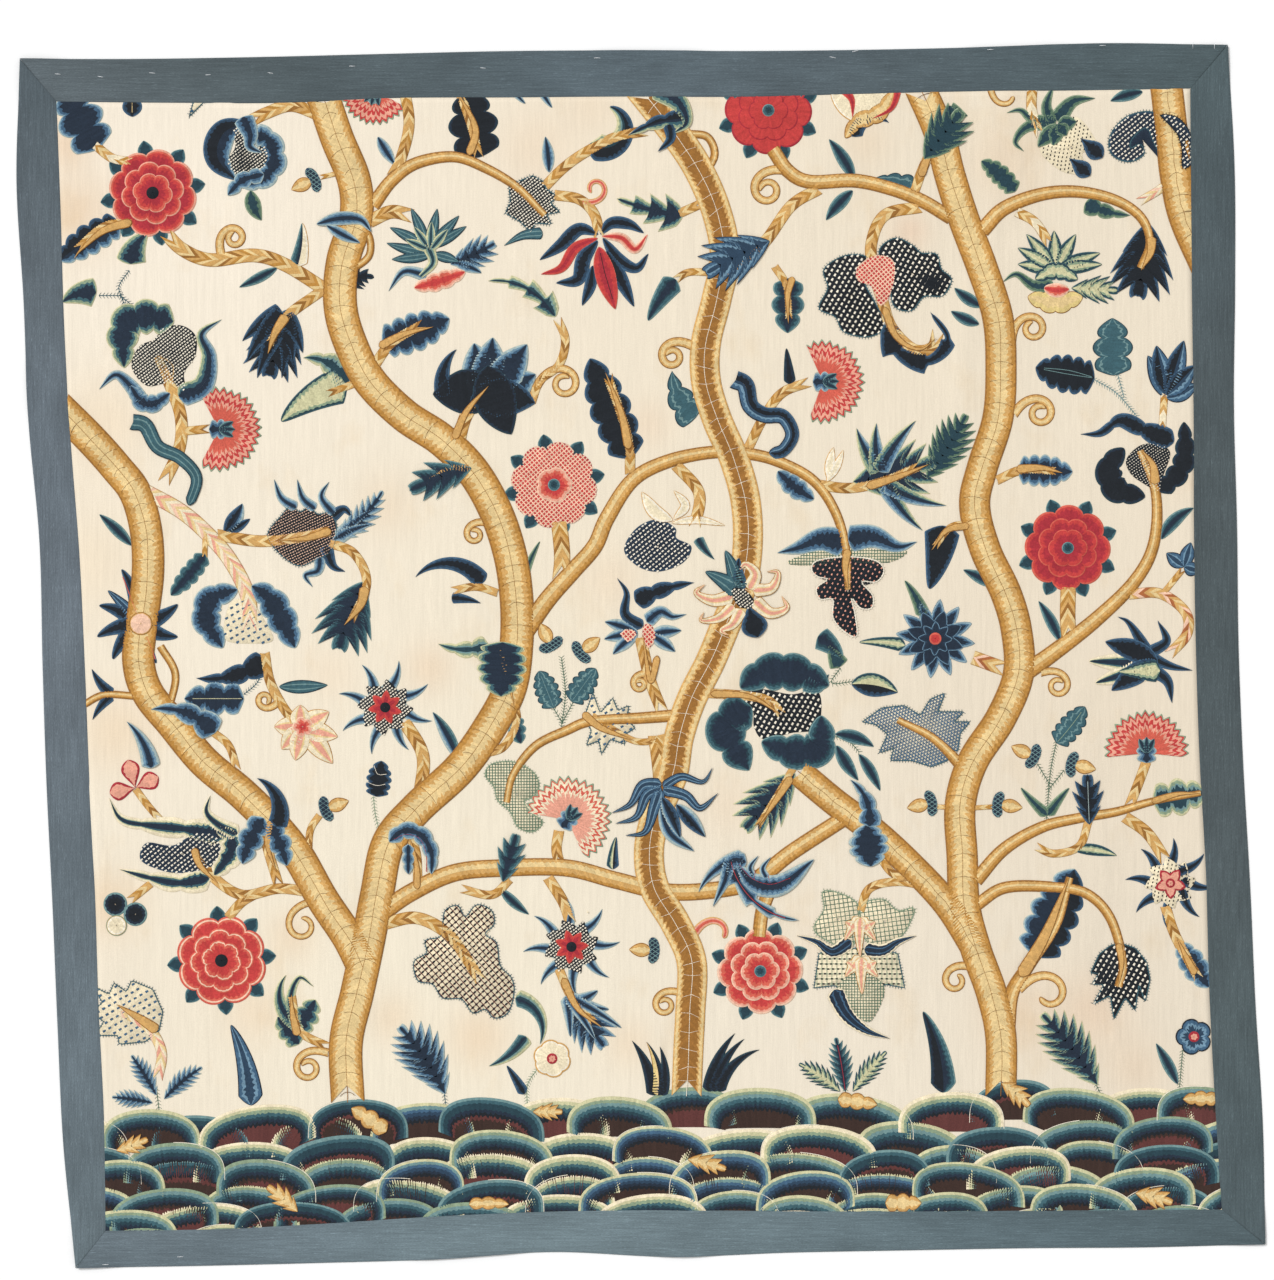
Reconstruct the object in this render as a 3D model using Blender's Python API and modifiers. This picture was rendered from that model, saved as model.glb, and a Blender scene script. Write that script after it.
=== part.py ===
"""A crewel embroidery panel lying face up: an embroidered ground cloth in a mitred border of ribbed cloth.

Metres, +Z up. +X is the panel's right and +Y its top edge. The origin is the middle of the
outline's bounding box, on the surface that the panel lies on. Each piece that was cut and sewn
on is one object: the ground cloth and the four strips of the border.
"""

import bmesh
import bpy
import numpy as np

# Corners of the outer edge, and of the seam where the border meets the ground cloth.
OUTER_CORNERS = {
    "top_left": (-0.994, 0.955),
    "top_right": (0.938, 0.977),
    "bottom_right": (0.998, -0.942),
    "bottom_left": (-0.905, -0.980),
}
SEAM_CORNERS = {
    "top_left": (-0.937, 0.887),
    "top_right": (0.879, 0.908),
    "bottom_right": (0.929, -0.887),
    "bottom_left": (-0.858, -0.921),
}

# Each side runs between two corners, and its cloth grows outwards along the last column.
SIDES = {
    # side: (from, to, outward)
    "top": ("top_left", "top_right", (0.0, 1.0)),
    "bottom": ("bottom_left", "bottom_right", (0.0, -1.0)),
    "left": ("bottom_left", "top_left", (-1.0, 0.0)),
    "right": ("bottom_right", "top_right", (1.0, 0.0)),
}

# How far each edge strays outwards from a straight line, in millimetres, at every tenth of its length.
OUTER_STRAY_MM = {
    "top": (0, -2.2, -1.3, 1.3, 3.6, 2.6, -0.6, -0.8, 1.3, 5.4, 0),
    "bottom": (0, 0.8, 0, -2.0, -10.0, 1.5, -1.5, -1.4, -1.0, 1.4, 0),
    "left": (0, 11.4, 12.0, 11.2, 11.8, 9.3, 5.3, 14.0, 13.0, 15.4, 0),
    "right": (0, 2.4, -3.4, -6.0, -11.0, -12.5, -9.0, -8.0, 0, 5.0, 0),
}
SEAM_STRAY_MM = {
    "top": (0, -3.9, -6.2, -0.5, -1.7, -2.4, -5.0, -2.8, -0.5, -1.0, 0),
    "bottom": (0, 1.0, -5.0, -13.0, -17.0, -16.0, -11.0, -7.0, -4.3, -2.0, 0),
    "left": (0, -5.0, -4.2, -6.4, -5.3, -6.0, -5.0, 1.0, 3.3, 1.0, 0),
    "right": (0, -6.0, -10.0, -10.0, -15.0, -16.0, -14.0, -9.5, -7.0, -4.0, 0),
}

GROUND_THICKNESS = 0.0018
BORDER_THICKNESS = 0.0032  # at its thickest, along the middle of the top strip
PIECE_GAP = 0.0003

# Thickness across each border strip, as a share of BORDER_THICKNESS.
BORDER_SECTION = {
    # side: (seam, middle, folded edge)
    "top": (0.62, 1.00, 0.72),
    "bottom": (0.62, 0.82, 0.74),
    "left": (0.62, 0.82, 0.74),
    "right": (0.62, 0.82, 0.74),
}

# Soft ridges where the cloth stands off the surface. All else lies flat on it.
RIDGES = (
    # name, start, end, half width, height
    ("right crease", (0.522, 0.560), (0.530, 0.340), 0.075, 0.0032),
    ("top right crease", (0.586, 0.905), (0.575, 0.740), 0.070, 0.0026),
    ("upper left crease", (-0.620, 0.720), (-0.600, 0.560), 0.070, 0.0024),
    ("middle crease", (-0.300, 0.300), (-0.285, 0.130), 0.070, 0.0022),
    ("lower left crease", (-0.500, -0.360), (-0.470, -0.560), 0.075, 0.0026),
    ("lower right crease", (0.715, -0.300), (0.690, -0.520), 0.075, 0.0026),
    ("foot pucker", (0.080, -0.890), (0.066, -0.990), 0.060, 0.0036),
    ("left pucker", (-0.990, 0.430), (-0.930, 0.400), 0.060, 0.0030),
    ("top lift", (-0.040, 0.985), (0.060, 0.975), 0.060, 0.0034),
    ("top right lift", (0.560, 0.985), (0.640, 0.985), 0.060, 0.0030),
    ("bottom lift", (-0.330, -0.980), (-0.230, -0.975), 0.060, 0.0032),
    ("top left ear", (-1.000, 0.960), (-0.985, 0.945), 0.080, 0.0060),
    ("bottom left ear", (-0.912, -0.985), (-0.900, -0.970), 0.080, 0.0050),
    ("bottom right ear", (1.002, -0.946), (0.990, -0.935), 0.070, 0.0040),
    ("top right ear", (0.942, 0.981), (0.930, 0.970), 0.070, 0.0034),
)

CELLS_ALONG = 60  # grid cells along each side
CELLS_ACROSS_BORDER = 4

COLOURS = {
    # material: (linear colour, roughness, metallic)
    "embroidered_ground": ((0.78, 0.70, 0.56, 1.0), 0.90, 0.0),
    "ribbed_border": ((0.105, 0.130, 0.145, 1.0), 0.80, 0.0),
}


def clear_scene():
    for obj in list(bpy.data.objects):
        bpy.data.objects.remove(obj)


def material(name):
    colour, roughness, metallic = COLOURS[name]
    made = bpy.data.materials.new(name)
    made.use_nodes = True
    shader = made.node_tree.nodes["Principled BSDF"]
    shader.inputs["Base Color"].default_value = colour
    shader.inputs["Roughness"].default_value = roughness
    shader.inputs["Metallic"].default_value = metallic
    made.diffuse_color = colour
    return made


def smooth_value(values, t):
    """A Catmull-Rom curve through evenly spaced values, at t from 0 to 1."""
    last = len(values) - 1
    place = np.clip(t, 0.0, 1.0) * last
    i = int(min(place, last - 1))
    f = place - i
    p1, p2 = values[i], values[i + 1]
    p0 = values[i - 1] if i > 0 else 2 * p1 - p2
    p3 = values[i + 2] if i + 2 <= last else 2 * p2 - p1
    bend = 2 * p0 - 5 * p1 + 4 * p2 - p3
    twist = -p0 + 3 * p1 - 3 * p2 + p3
    return 0.5 * (2 * p1 + (p2 - p0) * f + bend * f * f + twist * f**3)


def edge_point(corners, stray_mm, side, t):
    """A point of one edge of the cloth, at t from 0 to 1 along it."""
    first, second, outward = SIDES[side]
    start, end = np.array(corners[first]), np.array(corners[second])
    return start + (end - start) * t + np.array(outward) * smooth_value(stray_mm[side], t) / 1000


def outline_middle():
    """The middle of the outer outline's bounding box, which becomes the origin."""
    fractions = np.linspace(0.0, 1.0, CELLS_ALONG + 1)
    sides = [[edge_point(OUTER_CORNERS, OUTER_STRAY_MM, side, t) for t in fractions] for side in SIDES]
    points = np.concatenate(sides)
    return (points.min(0) + points.max(0)) / 2


def lift(point):
    """Height of the cloth's underside above the surface at a point of the plan."""
    height = 0.0
    for _, start, end, half_width, top in RIDGES:
        start, end = np.array(start), np.array(end)
        along = np.clip(np.dot(point - start, end - start) / np.dot(end - start, end - start), 0.0, 1.0)
        reach = np.linalg.norm(point - start - (end - start) * along) / half_width
        if reach < 1.0:
            height = max(height, top * (1.0 - reach * reach) ** 2)
    return height


def ground_point(u, v):
    """A Coons patch between the four seams, with u to the right and v upwards."""
    def seam(side, t):
        return edge_point(SEAM_CORNERS, SEAM_STRAY_MM, side, t)

    low_left, low_right = (np.array(SEAM_CORNERS[c]) for c in ("bottom_left", "bottom_right"))
    high_left, high_right = (np.array(SEAM_CORNERS[c]) for c in ("top_left", "top_right"))
    rows = (1 - v) * seam("bottom", u) + v * seam("top", u)
    columns = (1 - u) * seam("left", v) + u * seam("right", v)
    corners = (1 - v) * ((1 - u) * low_left + u * low_right) + v * ((1 - u) * high_left + u * high_right)
    half_size = (np.linalg.norm(high_right - high_left)) / 2
    return (rows + columns - corners) * (1 - PIECE_GAP / half_size)


def strip_point(side, u, v):
    """A point of a border strip: u along it between mitres, and v from its seam to its folded edge."""
    first, second, _ = SIDES[side]
    length = np.linalg.norm(np.array(OUTER_CORNERS[second]) - np.array(OUTER_CORNERS[first]))
    trim = 0.75 * PIECE_GAP / length  # leaves the gap between two strips at a mitre
    t = trim + (1 - 2 * trim) * u
    inner = edge_point(SEAM_CORNERS, SEAM_STRAY_MM, side, t)
    outer = edge_point(OUTER_CORNERS, OUTER_STRAY_MM, side, t)
    return (1 - v) * inner + v * outer


def section_share(side, v):
    seam, middle, fold = BORDER_SECTION[side]
    return float(np.interp(v, (0.0, 0.5, 1.0), (seam, middle, fold)))


def cloth_sheet(name, cells_u, cells_v, place, thickness, share, finish, middle, collection):
    """A grid laid out by place(u, v), given its thickness upwards by Solidify."""
    mesh = bpy.data.meshes.new(name)
    grid = bmesh.new()
    bmesh.ops.create_grid(grid, x_segments=cells_u, y_segments=cells_v, size=0.5)
    shares = []
    for vertex in grid.verts:
        u, v = vertex.co.x + 0.5, vertex.co.y + 0.5
        point = place(u, v)
        vertex.co = (*(point - middle), lift(point))
        shares.append(share(v))
    grid.normal_update()
    if sum(face.normal.z for face in grid.faces) < 0:
        bmesh.ops.reverse_faces(grid, faces=grid.faces)
    grid.to_mesh(mesh)
    grid.free()

    obj = bpy.data.objects.new(name, mesh)
    collection.objects.link(obj)
    obj.data.materials.append(finish)
    group = obj.vertex_groups.new(name="thickness")
    for index, weight in enumerate(shares):
        group.add([index], weight, "REPLACE")
    body = obj.modifiers.new("thickness", "SOLIDIFY")
    body.thickness = thickness
    body.offset = 1.0
    body.vertex_group = group.name
    body.thickness_vertex_group = 0.0
    mesh.shade_smooth()
    mesh.set_sharp_from_angle(angle=np.radians(40))
    return obj


def build_panel():
    clear_scene()
    collection = bpy.data.collections.new("crewel_embroidery_panel")
    bpy.context.scene.collection.children.link(collection)
    middle = outline_middle()
    ground_finish, border_finish = material("embroidered_ground"), material("ribbed_border")

    cloth_sheet(
        "ground", CELLS_ALONG, CELLS_ALONG, ground_point, GROUND_THICKNESS,
        lambda v: 1.0, ground_finish, middle, collection,
    )
    for side in SIDES:
        cloth_sheet(
            "border_" + side, CELLS_ALONG, CELLS_ACROSS_BORDER,
            lambda u, v, side=side: strip_point(side, u, v), BORDER_THICKNESS,
            lambda v, side=side: section_share(side, v), border_finish, middle, collection,
        )


build_panel()
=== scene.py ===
"""The looks of a crewel embroidery panel: wool flowering trees on cream twill, in a ribbed border.

Metres, +Z up. Places in the tables are in centimetres on the panel, +X right and +Y up,
and widths of thread bands are in millimetres.
"""

import math

import bpy
import numpy as np
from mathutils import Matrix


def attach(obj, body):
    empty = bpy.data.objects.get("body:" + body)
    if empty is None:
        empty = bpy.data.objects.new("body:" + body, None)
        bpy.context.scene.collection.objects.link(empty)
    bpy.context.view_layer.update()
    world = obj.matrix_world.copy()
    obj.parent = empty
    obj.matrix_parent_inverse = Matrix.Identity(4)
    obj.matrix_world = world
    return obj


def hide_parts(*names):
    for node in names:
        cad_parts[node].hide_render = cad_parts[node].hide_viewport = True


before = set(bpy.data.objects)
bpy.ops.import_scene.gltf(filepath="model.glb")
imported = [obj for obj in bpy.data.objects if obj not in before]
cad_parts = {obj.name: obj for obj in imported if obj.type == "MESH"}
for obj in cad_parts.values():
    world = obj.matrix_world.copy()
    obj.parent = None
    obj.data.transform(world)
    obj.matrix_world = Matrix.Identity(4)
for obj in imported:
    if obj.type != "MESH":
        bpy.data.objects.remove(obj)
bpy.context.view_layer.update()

CM = 0.01
MM = 0.001

# Corners and edges of the cloth, in metres, as on the solids.
OUTER_CORNERS = {
    "top_left": (-0.994, 0.955),
    "top_right": (0.938, 0.977),
    "bottom_right": (0.998, -0.942),
    "bottom_left": (-0.905, -0.980),
}
SEAM_CORNERS = {
    "top_left": (-0.937, 0.887),
    "top_right": (0.879, 0.908),
    "bottom_right": (0.929, -0.887),
    "bottom_left": (-0.858, -0.921),
}
SIDES = {
    # side: (from, to, outward)
    "top": ("top_left", "top_right", (0.0, 1.0)),
    "bottom": ("bottom_left", "bottom_right", (0.0, -1.0)),
    "left": ("bottom_left", "top_left", (-1.0, 0.0)),
    "right": ("bottom_right", "top_right", (1.0, 0.0)),
}
OUTER_STRAY_MM = {
    "top": (0, -2.2, -1.3, 1.3, 3.6, 2.6, -0.6, -0.8, 1.3, 5.4, 0),
    "bottom": (0, 0.8, 0, -2.0, -10.0, 1.5, -1.5, -1.4, -1.0, 1.4, 0),
    "left": (0, 11.4, 12.0, 11.2, 11.8, 9.3, 5.3, 14.0, 13.0, 15.4, 0),
    "right": (0, 2.4, -3.4, -6.0, -11.0, -12.5, -9.0, -8.0, 0, 5.0, 0),
}
SEAM_STRAY_MM = {
    "top": (0, -3.9, -6.2, -0.5, -1.7, -2.4, -5.0, -2.8, -0.5, -1.0, 0),
    "bottom": (0, 1.0, -5.0, -13.0, -17.0, -16.0, -11.0, -7.0, -4.3, -2.0, 0),
    "left": (0, -5.0, -4.2, -6.4, -5.3, -6.0, -5.0, 1.0, 3.3, 1.0, 0),
    "right": (0, -6.0, -10.0, -10.0, -15.0, -16.0, -14.0, -9.5, -7.0, -4.0, 0),
}
RIDGES = (
    # start, end, half width, height: where the cloth stands off the surface
    ((0.522, 0.560), (0.530, 0.340), 0.075, 0.0032),
    ((0.586, 0.905), (0.575, 0.740), 0.070, 0.0026),
    ((-0.620, 0.720), (-0.600, 0.560), 0.070, 0.0024),
    ((-0.300, 0.300), (-0.285, 0.130), 0.070, 0.0022),
    ((-0.500, -0.360), (-0.470, -0.560), 0.075, 0.0026),
    ((0.715, -0.300), (0.690, -0.520), 0.075, 0.0026),
    ((0.080, -0.890), (0.066, -0.990), 0.060, 0.0036),
    ((-0.990, 0.430), (-0.930, 0.400), 0.060, 0.0030),
    ((-0.040, 0.985), (0.060, 0.975), 0.060, 0.0034),
    ((0.560, 0.985), (0.640, 0.985), 0.060, 0.0030),
    ((-0.330, -0.980), (-0.230, -0.975), 0.060, 0.0032),
    ((-1.000, 0.960), (-0.985, 0.945), 0.080, 0.0060),
    ((-0.912, -0.985), (-0.900, -0.970), 0.080, 0.0050),
    ((1.002, -0.946), (0.990, -0.935), 0.070, 0.0040),
    ((0.942, 0.981), (0.930, 0.970), 0.070, 0.0034),
)
CREASES = (
    # start, end, half width and height, in centimetres and millimetres: soft pulls in the ground
    ((-67, 88), (-64, 60), 2.2, 0.9), ((-56, 74), (-55, 48), 1.8, 0.8), ((-38, 70), (-39, 40), 1.6, 0.6),
    ((-20, 66), (-18, 40), 2.0, 0.8), ((4, 78), (6, 52), 1.6, 0.7), ((26, 74), (25, 48), 2.0, 0.9),
    ((56, 82), (57, 60), 2.2, 1.1), ((60, 66), (60, 40), 1.6, 0.8), ((52, 56), (50, 22), 2.4, 1.3),
    ((72, 40), (70, 12), 1.8, 0.8), ((84, 60), (86, 30), 2.0, 0.9), ((-88, 60), (-84, 40), 1.8, 0.8),
    ((-72, 30), (-58, 12), 2.0, 0.9), ((-34, 26), (-33, -4), 1.8, 0.7), ((-4, 22), (-6, -4), 2.0, 0.9),
    ((26, 12), (24, -2), 1.8, 0.7), ((44, 24), (43, -6), 1.8, 0.8), ((70, -6), (74, -34), 2.0, 0.9),
    ((-52, -14), (-50, -40), 1.8, 0.8), ((-88, -22), (-84, -50), 2.0, 0.9), ((-4, -40), (-6, -66), 1.6, 0.8),
    ((12, -24), (14, -60), 1.8, 0.8), ((44, -46), (42, -66), 1.6, 0.7), ((-70, -56), (-70, -70), 1.8, 0.8),
    ((-38, -54), (-40, -70), 1.6, 0.7), ((68, -44), (78, -66), 2.0, 0.8), ((86, -30), (88, -60), 1.6, 0.8),
)

GROUND_THICKNESS = 1.8 * MM
BORDER_THICKNESS = 3.2 * MM
BORDER_SECTION = {
    # side: thickness as a share of BORDER_THICKNESS at the seam, the middle and the folded edge
    "top": (0.62, 1.00, 0.72),
    "bottom": (0.62, 0.82, 0.74),
    "left": (0.62, 0.82, 0.74),
    "right": (0.62, 0.82, 0.74),
}

STITCH = 4.6 * MM  # pitch of the modelled ribs, each one two wool stitches wide
RIB = 0.20 * MM  # how far a stitch's crown stands above the dips beside it
PAD = 0.95 * MM  # height of a field of stitches above the cloth
LEVEL = 0.85 * MM  # rise from one layer of stitching to the next
BAKE_MAP = "OFBake"  # the name of each flat piece's plan view map

WOOL = {
    # thread: sRGB colour
    "ink": "#1c2127", "navy": "#222e3d", "indigo": "#2c4257", "steel": "#41607a", "sky": "#6f8fa3",
    "haze": "#a3b4b2", "deep": "#26404a", "teal": "#3c5f68", "mist": "#6f8e8e", "sage": "#8a9c81",
    "moss": "#56705c", "straw": "#c9c59c", "lemon": "#dcc482", "cream": "#eadcbc", "chalk": "#efe6d2",
    "wheat": "#e2c68e", "gold": "#cfa261", "ochre": "#b9863f", "bark": "#9a6a31", "umber": "#6f4a25",
    "rust": "#a8643a", "red": "#c03f3d", "crimson": "#a8303a", "coral": "#d0604f", "pink": "#e2a089",
    "blush": "#ecc3a8", "maroon": "#5f3532", "brown": "#3b2a24",
}

BANDS = {
    # name: threads from the rim inwards, each with its width in millimetres; the last fills the rest
    "blue": (("haze", 2.2), ("sky", 3), ("steel", 5), ("navy", 0)),
    "steel": (("navy", 1.8), ("steel", 5), ("sky", 5), ("indigo", 0)),
    "night": (("steel", 2.5), ("indigo", 4), ("ink", 0)),
    "ink": (("deep", 2), ("navy", 3), ("ink", 0)),
    "teal": (("mist", 2.4), ("teal", 5), ("deep", 4), ("navy", 0)),
    "sea": (("deep", 2), ("teal", 6), ("mist", 3), ("teal", 0)),
    "green": (("straw", 2), ("sage", 4), ("teal", 5), ("navy", 0)),
    "fern": (("sage", 2), ("moss", 4), ("deep", 0)),
    "pale": (("straw", 4), ("sage", 5), ("mist", 4), ("deep", 0)),
    "crown": (("haze", 4), ("sky", 4), ("steel", 4), ("navy", 0)),
    "lime": (("teal", 1.5), ("deep", 3), ("sage", 4), ("straw", 0)),
    "lemon": (("bark", 1.2), ("lemon", 8), ("wheat", 0)),
    "cream": (("gold", 1.2), ("chalk", 3), ("cream", 0)),
    "lily": (("ochre", 1.2), ("cream", 9), ("wheat", 5), ("pink", 0)),
    "red": (("crimson", 2), ("red", 5), ("coral", 0)),
    "rose": (("coral", 2.5), ("blush", 2), ("coral", 5), ("red", 0)),
    "petal": (("pink", 1.6), ("coral", 4), ("red", 6), ("crimson", 0)),
    "scarlet": (("coral", 1.5), ("red", 7), ("crimson", 0)),
    "pale rose": (("blush", 2), ("pink", 4), ("coral", 6), ("red", 0)),
    "skirt": (("blush", 2.5), ("pink", 3), ("coral", 5), ("red", 0)),
    "frill": (("sage", 1.0), ("red", 6), ("pink", 7), ("red", 7), ("pink", 6), ("coral", 0)),
    "pale frill": (("sage", 1.0), ("coral", 5), ("cream", 7), ("coral", 6), ("cream", 6), ("pink", 0)),
    "trunk": (("bark", 3), ("ochre", 6), ("gold", 7), ("wheat", 0)),
    "trunk red": (("gold", 3), ("wheat", 6), ("gold", 4), ("bark", 0)),
    "bough high": (("bark", 2.5), ("gold", 5), ("wheat", 0)),
    "bough low": (("bark", 3), ("ochre", 5), ("gold", 0)),
    "curl": (("bark", 1.6), ("gold", 3), ("wheat", 0)),
    "blush curl": (("gold", 1.6), ("pink", 3), ("coral", 0)),
    "midrib": (("bark", 1.5), ("gold", 0)),
    "nut": (("bark", 1.5), ("gold", 5), ("wheat", 0)),
    "fruit": (("mist", 3), ("navy", 4), ("ink", 0)),
    "sepal": (("mist", 1.6), ("teal", 3), ("deep", 0)),
    "plain cream": (("cream", 0),),
    "plain dark": (("ink", 0),),
    "plain navy": (("indigo", 3), ("navy", 0)),
    "plain red": (("crimson", 2), ("red", 0)),
    "speckle": (("brown", 1.5), ("ink", 0)),
    "moth": (("cream", 7), ("straw", 3), ("teal", 4), ("navy", 0)),
    "curls": (("navy", 1.6), ("steel", 4), ("sky", 4), ("indigo", 0)),
    "edged": (("cream", 2.5), ("navy", 5), ("steel", 4), ("navy", 0)),
    "berry": (("crimson", 4), ("pink", 0)),
    "coral knot": (("coral", 3), ("red", 0)),
    "blush knot": (("gold", 2), ("blush", 0)),
}

PLAITS = {
    # name: threads of the slanted stripes, in turn
    "ochre": ("gold", "gold", "wheat", "ochre", "gold", "bark", "wheat"),
    "pale": ("cream", "blush", "wheat", "cream", "pink", "wheat"),
    "pink": ("wheat", "gold", "blush", "rust", "gold"),
    "dotted": ("cream", "ochre", "wheat", "gold", "cream"),
}

rng = np.random.default_rng(1690)


def linear(code):
    srgb = np.array([int(code[i:i + 2], 16) for i in (1, 3, 5)]) / 255
    return np.where(srgb <= 0.04045, srgb / 12.92, ((srgb + 0.055) / 1.055) ** 2.4)


TINT = {name: linear(code) for name, code in WOOL.items()}


def smooth_values(values, t):
    """A Catmull-Rom curve through evenly spaced values, at each t from 0 to 1."""
    values = np.array(values, float)
    padded = np.concatenate(([2 * values[0] - values[1]], values, [2 * values[-1] - values[-2]]))
    place = np.clip(t, 0.0, 1.0) * (len(values) - 1)
    i = np.minimum(place.astype(int), len(values) - 2)
    f = place - i
    if values.ndim > 1:
        f = f[:, None]
    p0, p1, p2, p3 = (padded[i + k] for k in range(4))
    bend = 2 * p0 - 5 * p1 + 4 * p2 - p3
    twist = -p0 + 3 * p1 - 3 * p2 + p3
    return 0.5 * (2 * p1 + (p2 - p0) * f + bend * f * f + twist * f**3)


def edge_points(corners, stray_mm, side, t):
    """Points of one edge of the cloth, at each t from 0 to 1 along it."""
    first, second, outward = SIDES[side]
    start, end = np.array(corners[first]), np.array(corners[second])
    t = np.asarray(t, float)
    return start + (end - start) * t[:, None] + np.array(outward) * smooth_values(stray_mm[side], t)[:, None] * MM


def outline_middle():
    t = np.linspace(0, 1, 201)
    points = np.concatenate([edge_points(OUTER_CORNERS, OUTER_STRAY_MM, side, t) for side in SIDES])
    return (points.min(0) + points.max(0)) / 2


MIDDLE = outline_middle()


def ridge_height(points, ridges):
    """Height at each point of the plan of soft ridges with the given ends, half widths and tops."""
    height = np.zeros(len(points))
    for start, end, half_width, top in ridges:
        start, run = np.array(start), np.array(end) - np.array(start)
        along = np.clip((points - start) @ run / (run @ run), 0.0, 1.0)
        reach = np.linalg.norm(points - start - along[:, None] * run, axis=1) / half_width
        height = np.maximum(height, top * np.clip(1.0 - reach * reach, 0.0, 1.0) ** 2)
    return height


def cloth_height(points):
    """Height of the cloth's underside: the solids' ridges, with finer creases in the ground."""
    fine = [(np.array(a) * CM, np.array(b) * CM, w * CM, h * MM) for a, b, w, h in CREASES]
    return ridge_height(points, RIDGES) + ridge_height(points, fine)


class Field:
    """The ground's outline as four curves, for clipping what the border covers."""

    def __init__(self):
        t = np.linspace(0, 1, 301)
        self.edge = {side: edge_points(SEAM_CORNERS, SEAM_STRAY_MM, side, t) for side in SIDES}

    def limits(self, points):
        low = np.interp(points[:, 0], *self.edge["bottom"].T)
        high = np.interp(points[:, 0], *self.edge["top"].T)
        left = np.interp(points[:, 1], self.edge["left"][:, 1], self.edge["left"][:, 0])
        right = np.interp(points[:, 1], self.edge["right"][:, 1], self.edge["right"][:, 0])
        return left, right, low, high

    def clip(self, points):
        """The points moved inside, and how far inside each one lay."""
        left, right, low, high = self.limits(points)
        x, y = points.T
        depth = np.minimum(np.minimum(x - left, right - x), np.minimum(y - low, high - y))
        return np.stack([np.clip(x, left, right), np.clip(y, low, high)], 1), depth


FIELD = Field()


def arc_lengths(line):
    steps = np.linalg.norm(np.diff(line, axis=0), axis=1)
    return np.concatenate(([0.0], np.cumsum(steps)))


def resampled(line, count):
    """count points evenly spaced along a line."""
    at = arc_lengths(line)
    wanted = np.linspace(0, at[-1], count)
    return np.stack([np.interp(wanted, at, line[:, k]) for k in range(line.shape[1])], 1)


def curve(points, count=400):
    """Evenly spaced points in metres on a smooth curve through points in centimetres."""
    points = np.array(points, float) * CM
    if len(points) == 2:
        return resampled(points, count)
    return resampled(smooth_values(points, np.linspace(0, 1, 24 * len(points))), count)


def turning(x, y, heading, length, turn, ease=1.0, count=400):
    """A path from a point in centimetres that turns by a number of degrees over its length."""
    s = (np.arange(count) + 0.5) / count
    angle = np.radians(heading + turn * s**ease)
    step = length * CM / count
    moves = np.stack([np.cos(angle), np.sin(angle)], 1) * step
    return np.concatenate(([[0.0, 0.0]], np.cumsum(moves, 0))) + np.array((x, y)) * CM


def normals(line):
    along = np.gradient(line, axis=0)
    along /= np.maximum(np.linalg.norm(along, axis=1, keepdims=True), 1e-12)
    return np.stack([-along[:, 1], along[:, 0]], 1), along


class Needlework:
    """The stitches of one embroidered piece, kept as grids until they are made into a mesh."""

    pieces = {}

    def __init__(self, name):
        self.name = name
        self.plans, self.rises, self.faces, self.tints, self.orders = [], [], [], [], []
        self.count = 0

    @classmethod
    def of(cls, name):
        return cls.pieces.setdefault(name, cls(name))

    def grid(self, plan, rise, tint, level, closed=False):
        """Adds rows by columns of points, with a colour for each cell between them."""
        rows, columns = plan.shape[:2]
        index = np.arange(rows * columns).reshape(rows, columns) + self.count
        right = np.roll(index, -1, 1) if closed else index[:, 1:]
        left = index if closed else index[:, :-1]
        faces = np.stack([left[:-1], right[:-1], right[1:], left[1:]], -1).reshape(-1, 4)
        self.plans.append(plan.reshape(-1, 2))
        self.rises.append((rise + level * LEVEL).ravel())
        self.faces.append(faces)
        self.tints.append(np.broadcast_to(tint, left[:-1].shape + (3,)).reshape(-1, 3))
        self.orders.append(np.full(len(faces), level))
        self.count += rows * columns

    def tents(self, plan, rise, tint, level):
        """Adds many low ridges, each with three points at either end."""
        first = self.count + 6 * np.arange(len(plan))[:, None]
        faces = np.concatenate([first + (0, 1, 4, 3), first + (1, 2, 5, 4)], 1).reshape(-1, 4)
        self.plans.append(plan.reshape(-1, 2))
        self.rises.append((rise + level * LEVEL).ravel())
        self.faces.append(faces)
        self.tints.append(np.repeat(tint, 2, 0))
        self.orders.append(np.full(len(faces), level))
        self.count += 6 * len(plan)

    def make(self):
        plan, rise = np.concatenate(self.plans), np.concatenate(self.rises)
        faces, tint = np.concatenate(self.faces), np.concatenate(self.tints)
        order = np.argsort(np.concatenate(self.orders), kind="stable")
        faces, tint = faces[order], tint[order]
        plan, depth = FIELD.clip(plan)
        keep = (depth[faces] > 0).any(1)
        faces, tint = faces[keep], tint[keep]
        used, faces = np.unique(faces, return_inverse=True)
        faces = faces.reshape(-1, 4)
        plan, rise, depth = plan[used], rise[used], depth[used]
        rise = rise * np.clip(0.15 + depth / (5 * MM), 0.0, 1.0)
        height = cloth_height(plan) + GROUND_THICKNESS + rise
        corners = plan[faces]
        edge_a, edge_b = corners[:, 2] - corners[:, 0], corners[:, 3] - corners[:, 1]
        down = edge_a[:, 0] * edge_b[:, 1] - edge_a[:, 1] * edge_b[:, 0] < 0
        faces[down] = faces[down][:, ::-1]
        return surface(self.name, np.column_stack([plan - MIDDLE, height]), faces, WOOL_FINISH, tint)


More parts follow.
